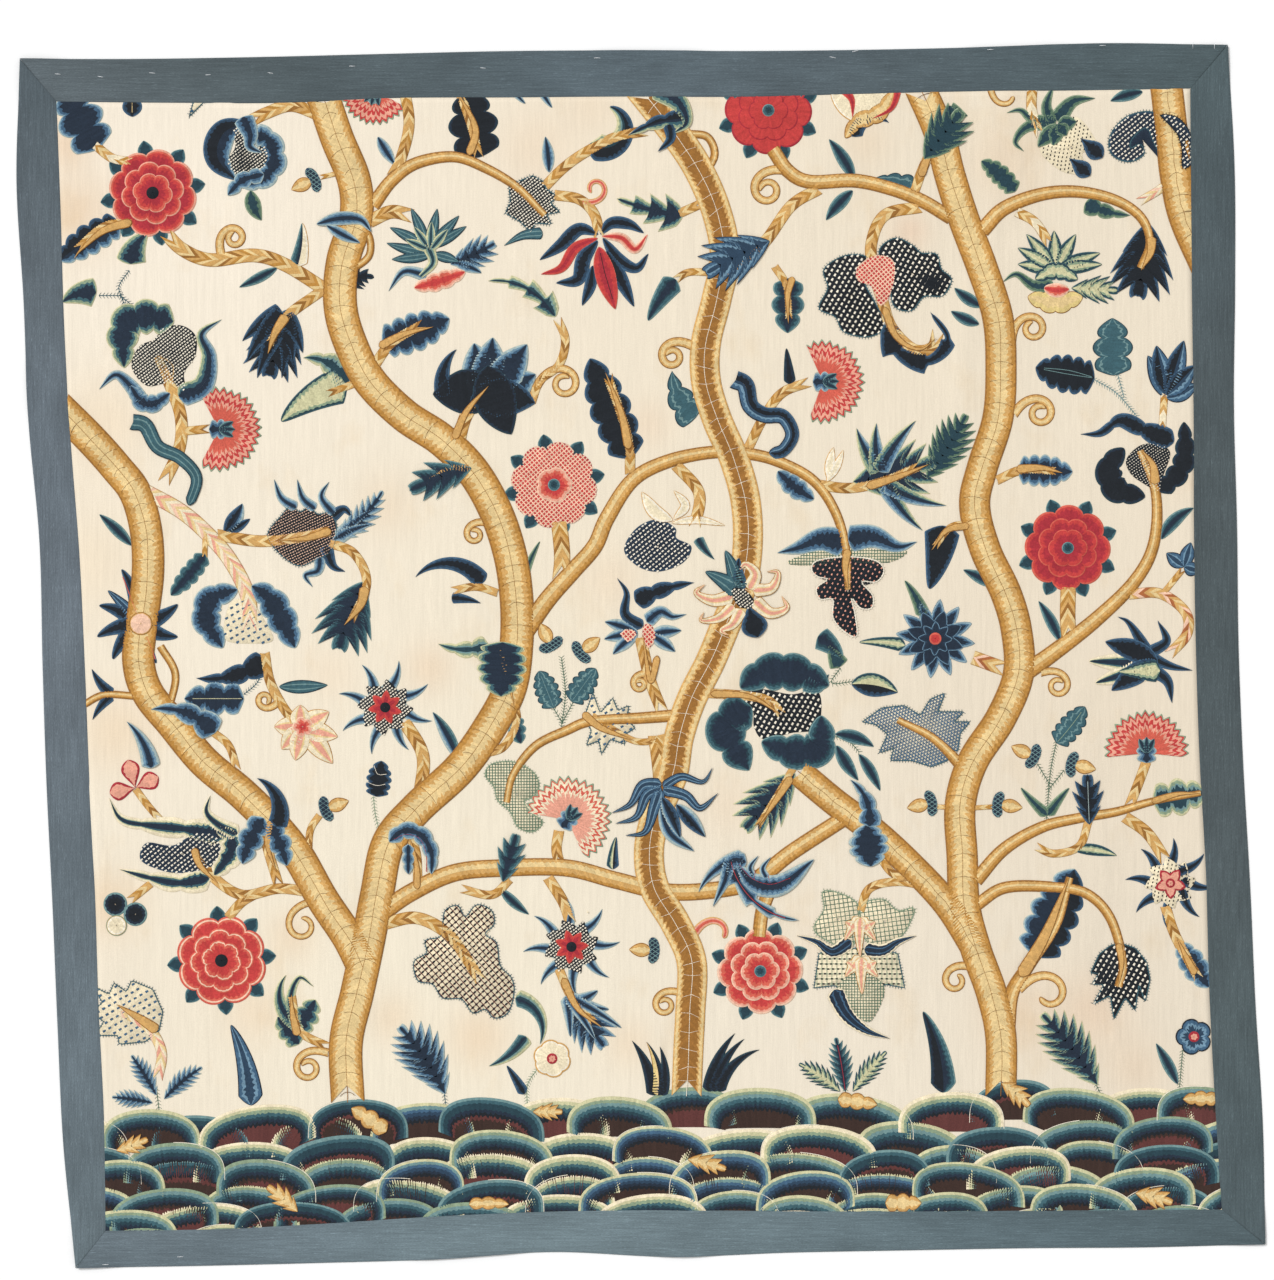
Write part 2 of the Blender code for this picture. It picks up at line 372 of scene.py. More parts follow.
def surface(name, points, faces, finish, tint=None, corner_tint=None):
    """A mesh object of quads with its plan view map, and with a colour for each face or point."""
    mesh = bpy.data.meshes.new(name)
    mesh.vertices.add(len(points))
    mesh.vertices.foreach_set("co", points.astype(np.float32).ravel())
    mesh.loops.add(faces.size)
    mesh.loops.foreach_set("vertex_index", faces.astype(np.int32).ravel())
    mesh.polygons.add(len(faces))
    mesh.polygons.foreach_set("loop_start", np.arange(0, faces.size, 4, dtype=np.int32))
    mesh.update(calc_edges=True)
    low, high = points[:, :2].min(0), points[:, :2].max(0)
    plan = (points[:, :2] - low) / (high - low)
    mesh.uv_layers.new(name=BAKE_MAP).uv.foreach_set("vector", plan[faces].astype(np.float32).ravel())
    if tint is not None:
        corner_tint = np.repeat(tint, 4, 0)
    if corner_tint is not None:
        colour = np.column_stack([corner_tint, np.ones(len(corner_tint))])
        layer = mesh.color_attributes.new("thread", "FLOAT_COLOR", "CORNER")
        layer.data.foreach_set("color", colour.astype(np.float32).ravel())
    mesh.materials.append(finish)
    mesh.shade_smooth()
    made = bpy.data.objects.new(name, mesh)
    bpy.context.scene.collection.objects.link(made)
    return made


def stitched(work, rim, core, bands, level=0.0, pad=PAD, closed=False, jag=0.30, fall=1.0, shade=None):
    """Long and short stitches from a rim to a core line, with one rib for each stitch.

    rim and core hold a point for each half stitch. The bands' edges are jagged, because each
    stitch has a length of its own.
    """
    columns = len(rim)
    stitch = np.arange(columns if closed else columns - 1) // 2
    reach = np.linalg.norm(core - rim, axis=1)
    crown = (np.arange(columns) % 2).astype(float)
    long_short = np.where(np.arange(columns) % 4 == 1, 1.0, -1.0) * crown
    depths = [np.zeros(columns), np.minimum(0.7 * MM, 0.1 * reach)]
    total = 0.0
    for k, (_, width) in enumerate(bands[:-1]):
        total += width * MM
        stray = 1 + jag * (0.55 * long_short + 0.6 * rng.uniform(-1, 1, columns))
        most = reach * (0.22 + 0.66 * (k + 1) / len(bands))
        least = depths[-1] + 0.04 * reach
        depths.append(np.maximum(np.minimum(total * stray, most), least))
    depths.append(np.maximum(reach, depths[-1] + 0.02 * reach))
    depths = np.array(depths)
    share = depths / np.maximum(reach, 1e-9)
    plan = rim[None] + (core - rim)[None] * share[..., None]
    tone = 1 + 0.10 * rng.uniform(-1, 1, int(stitch.max()) + 1)
    rise = pad * (1 - (1 - fall) * share) + RIB * (crown - 0.5) + 0.05 * MM * rng.uniform(-1, 1, columns)
    rise[0] = -0.15 * MM
    rise[1] *= 0.72
    threads = [bands[0][0]] + [thread for thread, _ in bands]
    tint = np.array([TINT[thread] for thread in threads])[:, None] * tone[stitch][None, :, None]
    if shade is not None:
        tint = tint * (shade[:len(stitch)])[None, :, None]
    work.grid(plan, rise, tint, level, closed)


def half_stitches(length):
    """How many points a rim of this length has: an odd number, one for each half stitch."""
    return 2 * max(2, round(length / STITCH)) + 1


def thread_line(work, line, width, thread, level=1.0, height=0.45):
    """One laid thread: a low ridge along a line in metres, width and height in millimetres."""
    count = max(2, int(arc_lengths(line)[-1] / (4.5 * MM)) + 1)
    line = resampled(line, count)
    side, _ = normals(line)
    half = width * MM / 2
    plan = np.stack([line - side * half, line, line + side * half])
    rise = np.array([-0.1, height, -0.1])[:, None] * MM + np.zeros(count)
    tone = 1 + 0.08 * rng.uniform(-1, 1, (1, count - 1, 1))
    work.grid(plan, rise, TINT[thread] * tone, level)


def bars(work, starts, ends, width, thread, level=1.0, height=0.4, tip=1.0):
    """Many short straight threads, each a low ridge. tip is the far end's share of the width."""
    if not len(starts):
        return
    run = ends - starts
    side = np.stack([-run[:, 1], run[:, 0]], 1) / np.maximum(np.linalg.norm(run, axis=1, keepdims=True), 1e-9)
    half = side * width * MM / 2
    plan = np.stack([starts - half, starts, starts + half, ends - half * tip, ends, ends + half * tip], 1)
    rise = np.tile(np.array([-0.1, height, -0.1] * 2) * MM, (len(starts), 1))
    tint = TINT[thread] * (1 + 0.12 * rng.uniform(-1, 1, (len(starts), 1)))
    work.tents(plan, rise, tint, level)


def hatch(outline, angle, pitch):
    """Where parallel lines at an angle in degrees, pitch millimetres apart, run inside an outline."""
    turn = np.radians(angle)
    axes = np.array([[math.cos(turn), math.sin(turn)], [-math.sin(turn), math.cos(turn)]])
    flat = outline @ axes.T
    beyond = np.roll(flat, -1, 0)
    starts, ends = [], []
    for level in np.arange(flat[:, 1].min() + pitch * MM / 2, flat[:, 1].max(), pitch * MM):
        hit = (flat[:, 1] > level) != (beyond[:, 1] > level)
        a, b = flat[hit], beyond[hit]
        across = np.sort(a[:, 0] + (level - a[:, 1]) / (b[:, 1] - a[:, 1]) * (b[:, 0] - a[:, 0]))
        for left, right in zip(across[::2], across[1::2]):
            if right - left > 1.5 * MM:
                starts.append((left, level))
                ends.append((right, level))
    return np.array(starts).reshape(-1, 2) @ axes, np.array(ends).reshape(-1, 2) @ axes


# Fillings of open work: what lies under, and the threads or dots laid over it in turn.
NETS = {
    # name: (bands under, ((thread, angles, pitch in mm, width in mm, dots or lines), ...))
    "check": ("plain dark", (("chalk", (38,), 4.6, 3.0, "dots"),)),
    "fine check": ("plain cream", (("moss", (0, 90), 4.6, 1.5, "lines"),)),
    "square": ("plain cream", (("moss", (8, 98), 7.0, 1.4, "lines"),)),
    "squares": ("plain cream", (("sage", (0, 90), 8.0, 1.3, "lines"), ("ink", (0,), 8.0, 3.6, "dots"))),
    "dots": ("plain dark", (("chalk", (60,), 8.2, 4.4, "dots"),)),
    "fine dots": ("plain dark", (("chalk", (35,), 4.2, 1.8, "dots"),)),
    "blue dots": ("plain navy", (("chalk", (40,), 6.4, 3.8, "dots"),)),
    "trellis": ("plain red", (("blush", (40, -50), 5.4, 2.4, "lines"),)),
    "speckle": ("speckle", (("blush", (25,), 4.2, 2.4, "dots"),)),
    "spots": ("plain cream", (("steel", (30,), 10.5, 5.0, "dots"),)),
    "seeds": ("plain cream", (("ink", (80,), 6.4, 2.8, "dots"),)),
    "rosy": ("plain dark", (("pink", (60,), 8.0, 3.0, "dots"),)),
    "tile": ("plain cream", (("maroon", (42, -48), 8.0, 1.6, "lines"), ("ink", (42,), 8.0, 4.2, "dots"))),
    "tangle": ("plain cream", (("steel", (20, -40, 80), 4.6, 1.5, "lines"),)),
    "pale net": ("plain cream", (("teal", (30, -30), 4.6, 1.6, "lines"),)),
    "cup": ("plain navy", (("mist", (35, -35), 5.6, 1.5, "lines"),)),
}


def open_work(work, outline, net, level=0.0, spikes=None):
    """A filling of crossed threads or dots inside an outline, edged with short spiky stitches."""
    under, passes = NETS[net]
    count = half_stitches(arc_lengths(outline)[-1])
    outline = resampled(np.concatenate([outline, outline[:1]]), count)[:-1]
    centre = outline.mean(0)
    inner = centre + (outline - centre) * 0.04
    stitched(work, outline, inner, BANDS[under], level, 0.75 * MM, closed=True, jag=0.2)
    for k, (thread, angles, pitch, width, kind) in enumerate(passes):
        for angle in angles:
            starts, ends = hatch(outline, angle, pitch)
            if kind == "dots":
                dots(work, starts, ends, pitch, width, thread, level + 0.85 + 0.1 * k)
            else:
                bars(work, starts, ends, width, thread, level + 0.85 + 0.1 * k, 0.35)
    if spikes:
        out, _ = normals(outline)
        away = np.sign(((outline - centre) * out).sum(1).sum())
        tips = outline + out * away * rng.uniform(2.2, 4.2, (len(outline), 1)) * MM
        bars(work, (outline - out * away * 1.5 * MM)[::2], tips[::2], 1.5, spikes, level + 0.6, 0.4, 0.35)
        thread_line(work, np.concatenate([outline, outline[:1]]), 1.6, spikes, level + 0.9)


def dots(work, starts, ends, pitch, width, thread, level):
    """Short thick stitches in staggered rows."""
    places, runs = [], []
    for row, (start, end) in enumerate(zip(starts, ends)):
        length = np.linalg.norm(end - start)
        along = (end - start) / length
        at = np.arange(pitch * (0.3 + 0.5 * (row % 2)), length / MM - width * 0.4, pitch)
        places.extend(start + along * step * MM for step in at)
        runs.extend(along for _ in at)
    if places:
        places = np.array(places) + rng.uniform(-0.3, 0.3, (len(places), 2)) * MM
        half = np.array(runs) * width * MM * 0.5
        bars(work, places - half, places + half, width * 0.8, thread, level, 0.5, 0.8)


def profile(name, s):
    """Half width of a leaf or limb along its length, as a share of the most."""
    shapes = {
        "limb": lambda: np.ones_like(s),
        "taper": lambda: 1 - 0.6 * s,
        "leaf": lambda: np.sin(np.pi * s**0.85) ** 0.75,
        "blade": lambda: np.minimum(1, s / 0.12) ** 0.6 * (1 - s) ** 0.55 * (1.1 - 0.2 * (s - 0.4) ** 2),
        "drop": lambda: np.sin(np.pi * s**1.7) ** 0.7,
        "horn": lambda: np.minimum(1, s / 0.06) ** 0.5 * (1 - s**1.6) ** 0.9,
        "round": lambda: np.sin(np.pi * s) ** 0.5,
        "oak": lambda: np.minimum(1, s / 0.1) ** 0.5 * (1 - s**5) ** 0.6 * (0.8 + 0.2 * np.sin(np.pi * s)),
        "curl": lambda: (1 - 0.35 * s) * np.minimum(1, (1 - s) / 0.05) ** 0.5,
    }
    return shapes[name]()


FORMS = {
    # name: (profile, round lobes or pointed teeth, how many, depth, lean towards the tip)
    "leaf": ("leaf", None, 0, 0.0, 0.0),
    "blade": ("blade", None, 0, 0.0, 0.0),
    "drop": ("drop", None, 0, 0.0, 0.0),
    "horn": ("horn", None, 0, 0.0, 0.0),
    "round": ("round", None, 0, 0.0, 0.0),
    "limb": ("limb", None, 0, 0.0, 0.0),
    "taper": ("taper", None, 0, 0.0, 0.0),
    "curl": ("curl", None, 0, 0.0, 0.0),
    "oak": ("oak", "lobes", 3, 0.42, 0.0),
    "oak5": ("oak", "lobes", 5, 0.32, 0.0),
    "cloud": ("round", "lobes", 4, 0.26, 0.0),
    "wave": ("horn", "lobes", 3, 0.40, 0.0),
    "tooth": ("leaf", "teeth", 4, 0.55, 0.9),
    "acanthus": ("leaf", "teeth", 5, 0.62, 1.1),
    "fern": ("leaf", "teeth", 8, 0.66, 0.9),
    "comb": ("horn", "teeth", 4, 0.60, 0.5),
}


def leaf_sides(spine, width, form):
    """The two rims of a leaf or limb, as dense lines with the place along the spine of each point."""
    shape, edge, count, depth, lean = FORMS[form]
    s = np.linspace(0, 1, len(spine))
    side, along = normals(spine)
    half = profile(shape, s) * width * CM / 2
    push = np.zeros_like(s)
    if edge == "lobes":
        half = half * (1 - depth * (1 - np.abs(np.sin(np.pi * (count * s + 0.02))) ** 0.55))
    elif edge == "teeth":
        q = (count * s) % 1.0
        peak = np.where(q < 0.8, (q / 0.8) ** 1.2, (1 - q) / 0.2)
        half = half * (1 - depth * (1 - peak))
        push = half * lean * peak * 0.8
    for sign in (1, -1):
        yield spine + side * sign * half[:, None] + along * push[:, None]


def leaf(work, spine, width, form, bands, level=0.0, slant=0.0, plait=None, outline=None, pad=PAD):
    """A leaf, petal, limb or plait: stitches from two rims to the spine between them.

    bands is one name, or two with a slash between, for the spine's left and right. A slant pulls
    the stitches' inner ends towards the base, and a plait colours them in slanted stripes.
    """
    left, _, right = bands.partition("/")
    for rim, name in zip(leaf_sides(spine, width, form), (left, right or left)):
        at = arc_lengths(rim)
        count = half_stitches(at[-1])
        wanted = np.linspace(0, at[-1], count)
        edge = np.stack([np.interp(wanted, at, rim[:, k]) for k in (0, 1)], 1)
        s = np.interp(wanted, at, np.linspace(0, 1, len(rim)))
        inner = np.clip(s - slant, 0, 1)
        inner = 0.015 + inner * 0.97
        core = np.stack([np.interp(inner, np.linspace(0, 1, len(spine)), spine[:, k]) for k in (0, 1)], 1)
        if plait:
            plaited(work, edge, core, PLAITS[plait], level)
        else:
            stitched(work, edge, core, BANDS[name], level, pad)
        if outline:
            thread_line(work, rim, 1.3, outline, level + 0.7)


def plaited(work, rim, core, threads, level):
    """Slanted satin stitches, each one thread's colour from rim to core."""
    columns = len(rim)
    crown = (np.arange(columns) % 2).astype(float)
    stitch = np.arange(columns - 1) // 2
    plan = np.stack([rim, rim + (core - rim) * 0.12, rim + (core - rim) * 0.5, core])
    rise = PAD * np.array([-0.15, 0.72, 1.05, 0.9])[:, None] + RIB * (crown - 0.5)
    tone = 1 + 0.08 * rng.uniform(-1, 1, int(stitch.max()) + 1)
    turn = (stitch // 2) % len(threads)
    tint = np.array([TINT[thread] for thread in threads])[turn] * tone[stitch][:, None]
    edge = np.array([TINT["bark"]]) * 0.6 + tint * 0.4
    work.grid(plan, rise, np.stack([edge, tint, tint]), level)


def region(kind, x, y):
    """The piece that holds work of one kind near a place: sixteen of them share the panel."""
    column = min(3, max(0, int((x + 94) // 47)))
    row = min(3, max(0, int((90 - y) // 41)))
    return Needlework.of(f"{kind}_{'abcd'[row]}{column + 1}")


def petal(work, form, x, y, heading, length, width, bend, bands, level=0.0, **more):
    """A leaf given by its base in centimetres, its mean heading, its size and its bend in degrees."""
    spine = turning(x, y, heading - bend / 2, length, bend)
    leaf(work, spine, width, form, bands, level, **more)
    return spine


def ring(x, y, radius, shape, count, depth, turn=0.0, points=None):
    """A closed outline round a place in centimetres: lobes, a star, a saw or a plain circle."""
    dense = np.linspace(0, 2 * np.pi, 1201)[:-1]
    phase = count * (dense - math.radians(turn)) / (2 * np.pi)
    q = phase % 1.0
    waves = {
        "lobes": np.abs(np.sin(np.pi * q)) ** 0.55,
        "star": 1 - np.abs(2 * q - 1),
        "swirl": np.where(q < 0.78, q / 0.78, (1 - q) / 0.22),
        "plain": np.ones_like(q),
    }
    r = radius * CM * (1 - depth * (1 - waves[shape]))
    outline = np.array((x, y)) * CM + np.stack([r * np.cos(dense), r * np.sin(dense)], 1)
    count = points or half_stitches(arc_lengths(outline)[-1]) - 1
    return resampled(np.concatenate([outline, outline[:1]]), count + 1)[:-1]


def disc(work, x, y, radius, bands, level, shape="plain", count=1, depth=0.0, turn=0.0, outline=None):
    """A round, lobed or pointed field of stitches that run in to its middle."""
    rim = ring(x, y, radius, shape, count, depth, turn)
    centre = np.array((x, y)) * CM
    stitched(work, rim, centre + (rim - centre) * 0.06, BANDS[bands], level, closed=True)
    if outline:
        thread_line(work, np.concatenate([rim, rim[:1]]), 1.2, outline, level + 0.8)


ROSES = (
    # x, y, radius, turn, petals, centre, net
    (-78.2, 74.0, 7.1, 10, "petal", "ink", None),
    (20.3, 87.2, 7.0, 20, "plain red", "moss", None),
    (-14.0, 27.3, 6.9, 12, "trellis", "navy", "trellis"),
    (68.2, 17.2, 6.9, 20, "scarlet", "deep", None),
    (-67.2, -48.8, 7.3, 5, "rose", "ink", None),
    (19.0, -50.5, 6.9, 25, "pale rose", "steel", None),
)


def rose(x, y, radius, turn, bands, centre, net):
    """A double rose: three rings of petals, small sepals between the outer ones, and a round heart."""
    work = Needlework.of(f"rose_{1 + [row[0] for row in ROSES].index(x)}")
    for k in range(8):
        heading = turn + 45 * k
        away = radius * 0.78
        at = math.radians(heading)
        petal(work, "leaf", x + away * math.cos(at), y + away * math.sin(at), heading, radius * 0.42,
              radius * 0.36, 0, "sepal", 0)
    if net:
        open_work(work, ring(x, y, radius, "lobes", 8, 0.17, turn), net, 0.5)
        bands = "pale rose"
        disc(work, x, y, radius * 0.42, bands, 1.9, "lobes", 5, 0.16, turn + 22)
    else:
        rings = ((1.0, 8, 0.15, 0.0), (0.72, 8, 0.17, 22.5), (0.46, 6, 0.18, 10))
        for step, (share, count, depth, shift) in enumerate(rings):
            disc(work, x, y, radius * share, bands, 0.5 + step * 0.8, "lobes", count, depth, turn + shift)
            cusps(work, x, y, radius * share, count, depth, turn + shift, 0.9 + step * 0.8)
    disc(work, x, y, radius * 0.145, "plain dark" if centre == "ink" else "sepal", 3.0)
    knots(work, x, y, radius * 0.12, centre, 3.6)


def cusps(work, x, y, radius, count, depth, turn, level):
    """Short dark threads that part the petals of a ring."""
    angle = np.radians(turn + 360 / count * np.arange(count))
    heading = np.stack([np.cos(angle), np.sin(angle)], 1)
    centre = np.array((x, y)) * CM
    outer = centre + heading * radius * (1 - depth) * CM
    inner = centre + heading * radius * 0.55 * CM
    bars(work, outer, inner, 0.9, "crimson", level, 0.25, 0.4)


def knots(work, x, y, radius, thread, level):
    """A heart of small tight stitches."""
    outline = ring(x, y, radius, "plain", 1, 0.0)
    starts, ends = hatch(outline, 30, 2.2)
    dots(work, starts, ends, 2.2, 1.7, thread, level)


CARNATIONS = (
    # x, y of the cup, radius, heading, half spread, bands
    (-67.6, 36.2, 7.0, 0, 118, "frill"),
    (29.0, 43.8, 6.9, 2, 112, "frill"),
    (-11.8, -26.3, 7.2, 52, 118, "pale frill"),
    (80.8, -15.6, 7.0, 90, 96, "frill"),
    (-42.6, 90.5, 5.8, 255, 75, "frill"),
)


def carnation(x, y, radius, heading, spread, bands):
    """A pink seen from the side: a fan of notched petals in zigzag bands, held in a blue cup."""
    work = region("flowers", x, y)
    angle = np.radians(heading + np.linspace(-spread, spread, 1600))
    notches = 2 * spread / 11.5
    q = (np.linspace(0, notches, len(angle))) % 1.0
    tooth = 1 - np.abs(2 * q - 1)
    petals = np.abs(np.sin(np.linspace(0, 5 * np.pi, len(angle)))) ** 0.5
    r = radius * CM * (0.82 + 0.13 * tooth + 0.05 * petals)
    centre = np.array((x, y)) * CM
    rim = centre + np.stack([np.cos(angle), np.sin(angle)], 1) * r[:, None]
    rim = resampled(rim, half_stitches(arc_lengths(rim)[-1]))
    core = centre + (rim - centre) * 0.08
    stitched(work, rim, core, BANDS[bands], 0.4, jag=0.16)
    back = math.radians(heading + 180)
    base = (x + 1.6 * math.cos(back), y + 1.6 * math.sin(back))
    petal(work, "oak", *base, heading, 4.0, 3.4, 0, "blue", 1.3)
    for side in (-28, 0, 28):
        petal(work, "leaf", x, y, heading + side, 2.6, 1.3, 0, "teal", 1.9)


def hillocks():
    """Rows of overlapping mounds along the foot, each one worked in upright bands of colour."""
    sets = (
        ("straw", "sage", "mist", "teal", "deep", "navy", "ink", "brown"),
        ("sage", "mist", "teal", "deep", "navy", "ink", "brown", "maroon"),
        ("cream", "straw", "sage", "teal", "deep", "navy", "ink", "maroon"),
        ("straw", "mist", "steel", "indigo", "navy", "ink", "brown", "brown"),
        ("mist", "teal", "deep", "deep", "navy", "ink", "maroon", "brown"),
    )
    top_row = (
        # x, crest, half width
        (-88.5, -74.0, 6.5), (-78.5, -72.6, 8.0), (-70.5, -73.6, 8.0), (-61.5, -72.0, 9.5), (-52.0, -73.4, 7.5),
        (-45.3, -71.0, 8.0), (-35.0, -71.6, 8.5), (-24.0, -70.8, 8.5), (-13.5, -70.8, 8.5), (-3.5, -70.6, 8.5),
        (7.4, -69.1, 8.0), (19.0, -69.2, 9.0), (34.0, -70.2, 9.5), (49.5, -69.8, 8.5), (59.5, -67.9, 7.0),
        (70.0, -69.3, 9.0), (80.5, -69.2, 8.0), (90.0, -69.0, 7.5),
    )
    rows = [top_row]
    for row in range(1, 6):
        x = -96.0 + 7.0 * (row % 2)
        places = []
        while x < 100:
            half = rng.uniform(7.0, 9.6)
            tilt = 0.022 * x
            places.append((x, -72.6 - 3.45 * row + tilt + rng.uniform(-0.7, 0.7), half))
            x += half * rng.uniform(1.42, 1.62)
        rows.append(places)
    for row, places in enumerate(rows):
        for k, (x, crest, half) in enumerate(places):
            mound(x, crest, half, sets[rng.integers(len(sets))], row, k)


def mound(x, crest, half, threads, row, k):
    """One mound of the foot: upright satin stitches under a domed rim."""
    work = Needlework.of(f"hillocks_{min(4, 1 + int((x + 96) // 49))}")
    height = 6.2
    angle = np.linspace(np.pi, 0, 600)
    lean = rng.uniform(-0.12, 0.12)
    rim_x = x + half * np.cos(angle)
    rim_y = crest - height + height * np.sin(angle) ** 0.62 + lean * half * np.cos(angle)
    rim = np.stack([rim_x, rim_y], 1) * CM
    rim = resampled(rim, half_stitches(arc_lengths(rim)[-1]))
    foot = np.array((x, crest - height - 0.6)) * CM
    core = np.stack([foot[0] + (rim[:, 0] - foot[0]) * 0.62, foot[1] + (rim[:, 1] - foot[1]) * 0.06], 1)
    width = rng.uniform(4.2, 5.6)
    bands = [(thread, width * rng.uniform(0.8, 1.2)) for thread in threads]
    level = 0.15 * row + 0.45 * (k % 2)
    stitched(work, rim, core, bands, level, jag=0.10, fall=0.25)
    if rng.random() < 0.35:
        part = rim[len(rim) // 2:] if rng.random() < 0.5 else rim[:len(rim) // 2]
        thread_line(work, part, 1.1, "chalk", level + 1.1)


TRUNKS = (
    # name, style, width at the top and foot, points from the top down
    ("left", "trunk", 5.0, 5.4, ((-93.5, 40), (-88, 34.5), (-84, 30), (-81, 26), (-79.3, 20), (-79, 13),
     (-80, 5), (-80.5, -1), (-79, -6), (-75, -11), (-70, -17), (-64, -22), (-59, -27), (-55, -32),
     (-51, -39), (-47, -45), (-44.5, -50))),
    ("main_left", "trunk", 5.2, 5.6, ((-51.5, 91), (-48.8, 83), (-46, 76), (-45.7, 70), (-47.8, 63),
     (-48.2, 56), (-46.6, 50), (-43.5, 44), (-38, 38.5), (-32, 34.5), (-27, 29.5), (-23.3, 23), (-21, 16),
     (-20, 9), (-20, 2), (-21, -5), (-24, -11), (-29, -18), (-36, -24.5), (-40.5, -30), (-42.3, -38),
     (-43.8, -46), (-45.5, -54), (-47.3, -62), (-47, -71.5))),
    ("middle", "trunk red", 5.0, 4.6, ((-0.5, 91), (5, 84), (9, 78), (12, 71), (13.3, 64), (12, 57),
     (10.3, 50), (10.3, 44), (12, 38), (14.8, 31.5), (16.6, 25), (17, 18), (16, 11), (13.5, 5), (11, -1),
     (8, -7), (6, -13), (5, -19), (2.5, -25), (1.2, -31), (2, -37), (5.5, -43), (8, -49), (7.8, -57),
     (7.5, -63), (7.2, -70.5))),
    ("right", "trunk", 4.8, 5.2, ((44.5, 91), (47.5, 84), (49.3, 77), (51.5, 70), (54.5, 62), (57, 54),
     (57.5, 46), (57, 38), (54.5, 30), (53.3, 24), (55, 17), (58.3, 10), (60, 4), (60.3, -3), (57.5, -10),
     (53, -17), (51, -24), (51.3, -32), (51.7, -40), (53.5, -47), (56, -54), (57.5, -61), (57.5, -70.5))),
    ("fork", "trunk", 4.6, 4.4, ((25, -18.5), (31, -23.5), (37, -28), (43, -33.5), (49, -40), (54, -48))),
    ("corner", "trunk", 5.2, 5.2, ((84, 91), (84.8, 84), (85.5, 77), (87, 70), (91, 61))),
)


def trunk(name, style, top, foot, points):
    """A trunk: shaded across in satin stitch, with a laid centre line and curved rungs."""
    work = Needlework.of(f"trunk_{name}")
    spine = curve(points, 1200)
    level = 1.0 if style == "trunk red" else 0.9
    mean = (top + foot) / 2
    leaf(work, spine, mean, "limb", style, level)
    pale = style == "trunk red"
    thread = "chalk" if pale else "bark"
    side, along = normals(spine)
    wobble = 0.8 * MM * np.sin(np.arange(len(spine)) * 0.05)
    thread_line(work, spine + side * wobble[:, None], 1.1, thread, level + 1.1, 0.35)
    at = arc_lengths(spine)
    step = 0.032 if not pale else 0.028
    for place in np.arange(0.012, at[-1] - 0.01, step):
        place += rng.uniform(-0.004, 0.004)
        k = min(len(spine) - 1, int(np.searchsorted(at, place)))
        rung(work, spine[k], side[k], along[k], mean, pale, level + 1.1)


def rung(work, centre, side, along, width, pale, level):
    """A curved thread across a trunk, or a pair of short pale ones that meet at its middle."""
    share = np.linspace(-1, 1, 13)
    if pale:
        reach = 0.30 * width * CM
        for sign in (-1, 1):
            end = centre + side * sign * reach + along * rng.uniform(-5, 7) * MM
            bars(work, np.array([centre]), np.array([end]), 0.9, "chalk", level, 0.3, 0.6)
        return
    bow = rng.uniform(3, 7) * MM * (share**2)
    reach = (0.40 if rng.random() < 0.7 else 0.22) * width * CM
    line = centre + side * (share * reach)[:, None] + along * bow[:, None]
    thread_line(work, line, 0.9, "umber", level, 0.3)


BOUGHS = (
    # width at the start and end, points
    (2.3, 1.2, ((-43, 72), (-40, 76), (-36, 78.8), (-30, 79.8), (-25, 78), (-20, 75), (-15.5, 70.5))),
    (3.0, 1.3, ((-18.5, 4), (-15, 9), (-11, 13.5), (-7.5, 17.5), (-5.5, 22), (-1.5, 28), (4, 31), (11, 32.5),
     (17, 32.3), (22, 31), (27.5, 28), (31, 23), (32.7, 17), (33, 10.5))),
    (2.9, 2.6, ((-42, -41.5), (-37, -38), (-30, -34.8), (-22, -34), (-12, -34), (-4, -36), (4, -37.8),
     (12, -37.5), (18, -36), (24, -31.5), (32, -26.3))),
    (2.3, 2.2, ((21, 81), (23.5, 77.5), (27, 75.8), (34, 76), (40, 74.7), (45, 72.7), (49.5, 70))),
    (2.5, 1.3, ((54.5, 68), (58, 71.5), (64, 73.8), (70, 74.2), (76, 72.8), (80, 70), (81.3, 66), (79.8, 62))),
    (2.9, 1.4, ((61, -3), (66, 0.5), (73, 6), (79, 12), (82, 18), (82.3, 26), (79.8, 32.8))),
    (2.3, 1.0, ((53.5, -36), (58, -31), (64, -27.5), (70, -26), (76, -25), (82, -23.3), (89.5, -22))),
    (2.0, 1.4, ((53.5, -40), (58, -37.2), (65, -37), (71, -38), (75, -42), (77, -49), (76.3, -53))),
    (1.2, 2.0, ((-21.6, -23.5), (-20.5, -19), (-17, -14.5), (-12, -12), (-8, -10.5), (0, -10), (6.5, -9.5))),
    (2.2, 2.2, ((20.5, -37.5), (19.3, -41), (18.8, -45))),
    (1.3, 2.6, ((68.5, -35.5), (66.3, -43), (62, -49.5), (59.3, -54), (58.5, -60))),
    (1.2, 1.2, ((-89.5, -8), (-86, -6.3), (-81, -6.5))),
    (1.3, 1.2, ((-77, 1.5), (-74.6, -3), (-75.6, -8.5))),
    (1.2, 2.0, ((41, -10.3), (47, -13.5), (52.8, -19.5))),
    (1.3, 1.3, ((7.3, 83.5), (10.5, 83), (11.7, 80.2), (10.2, 77.2))),
    (1.2, 1.2, ((-47, 61.3), (-43.6, 64), (-44, 67.8), (-47.8, 69))),
)

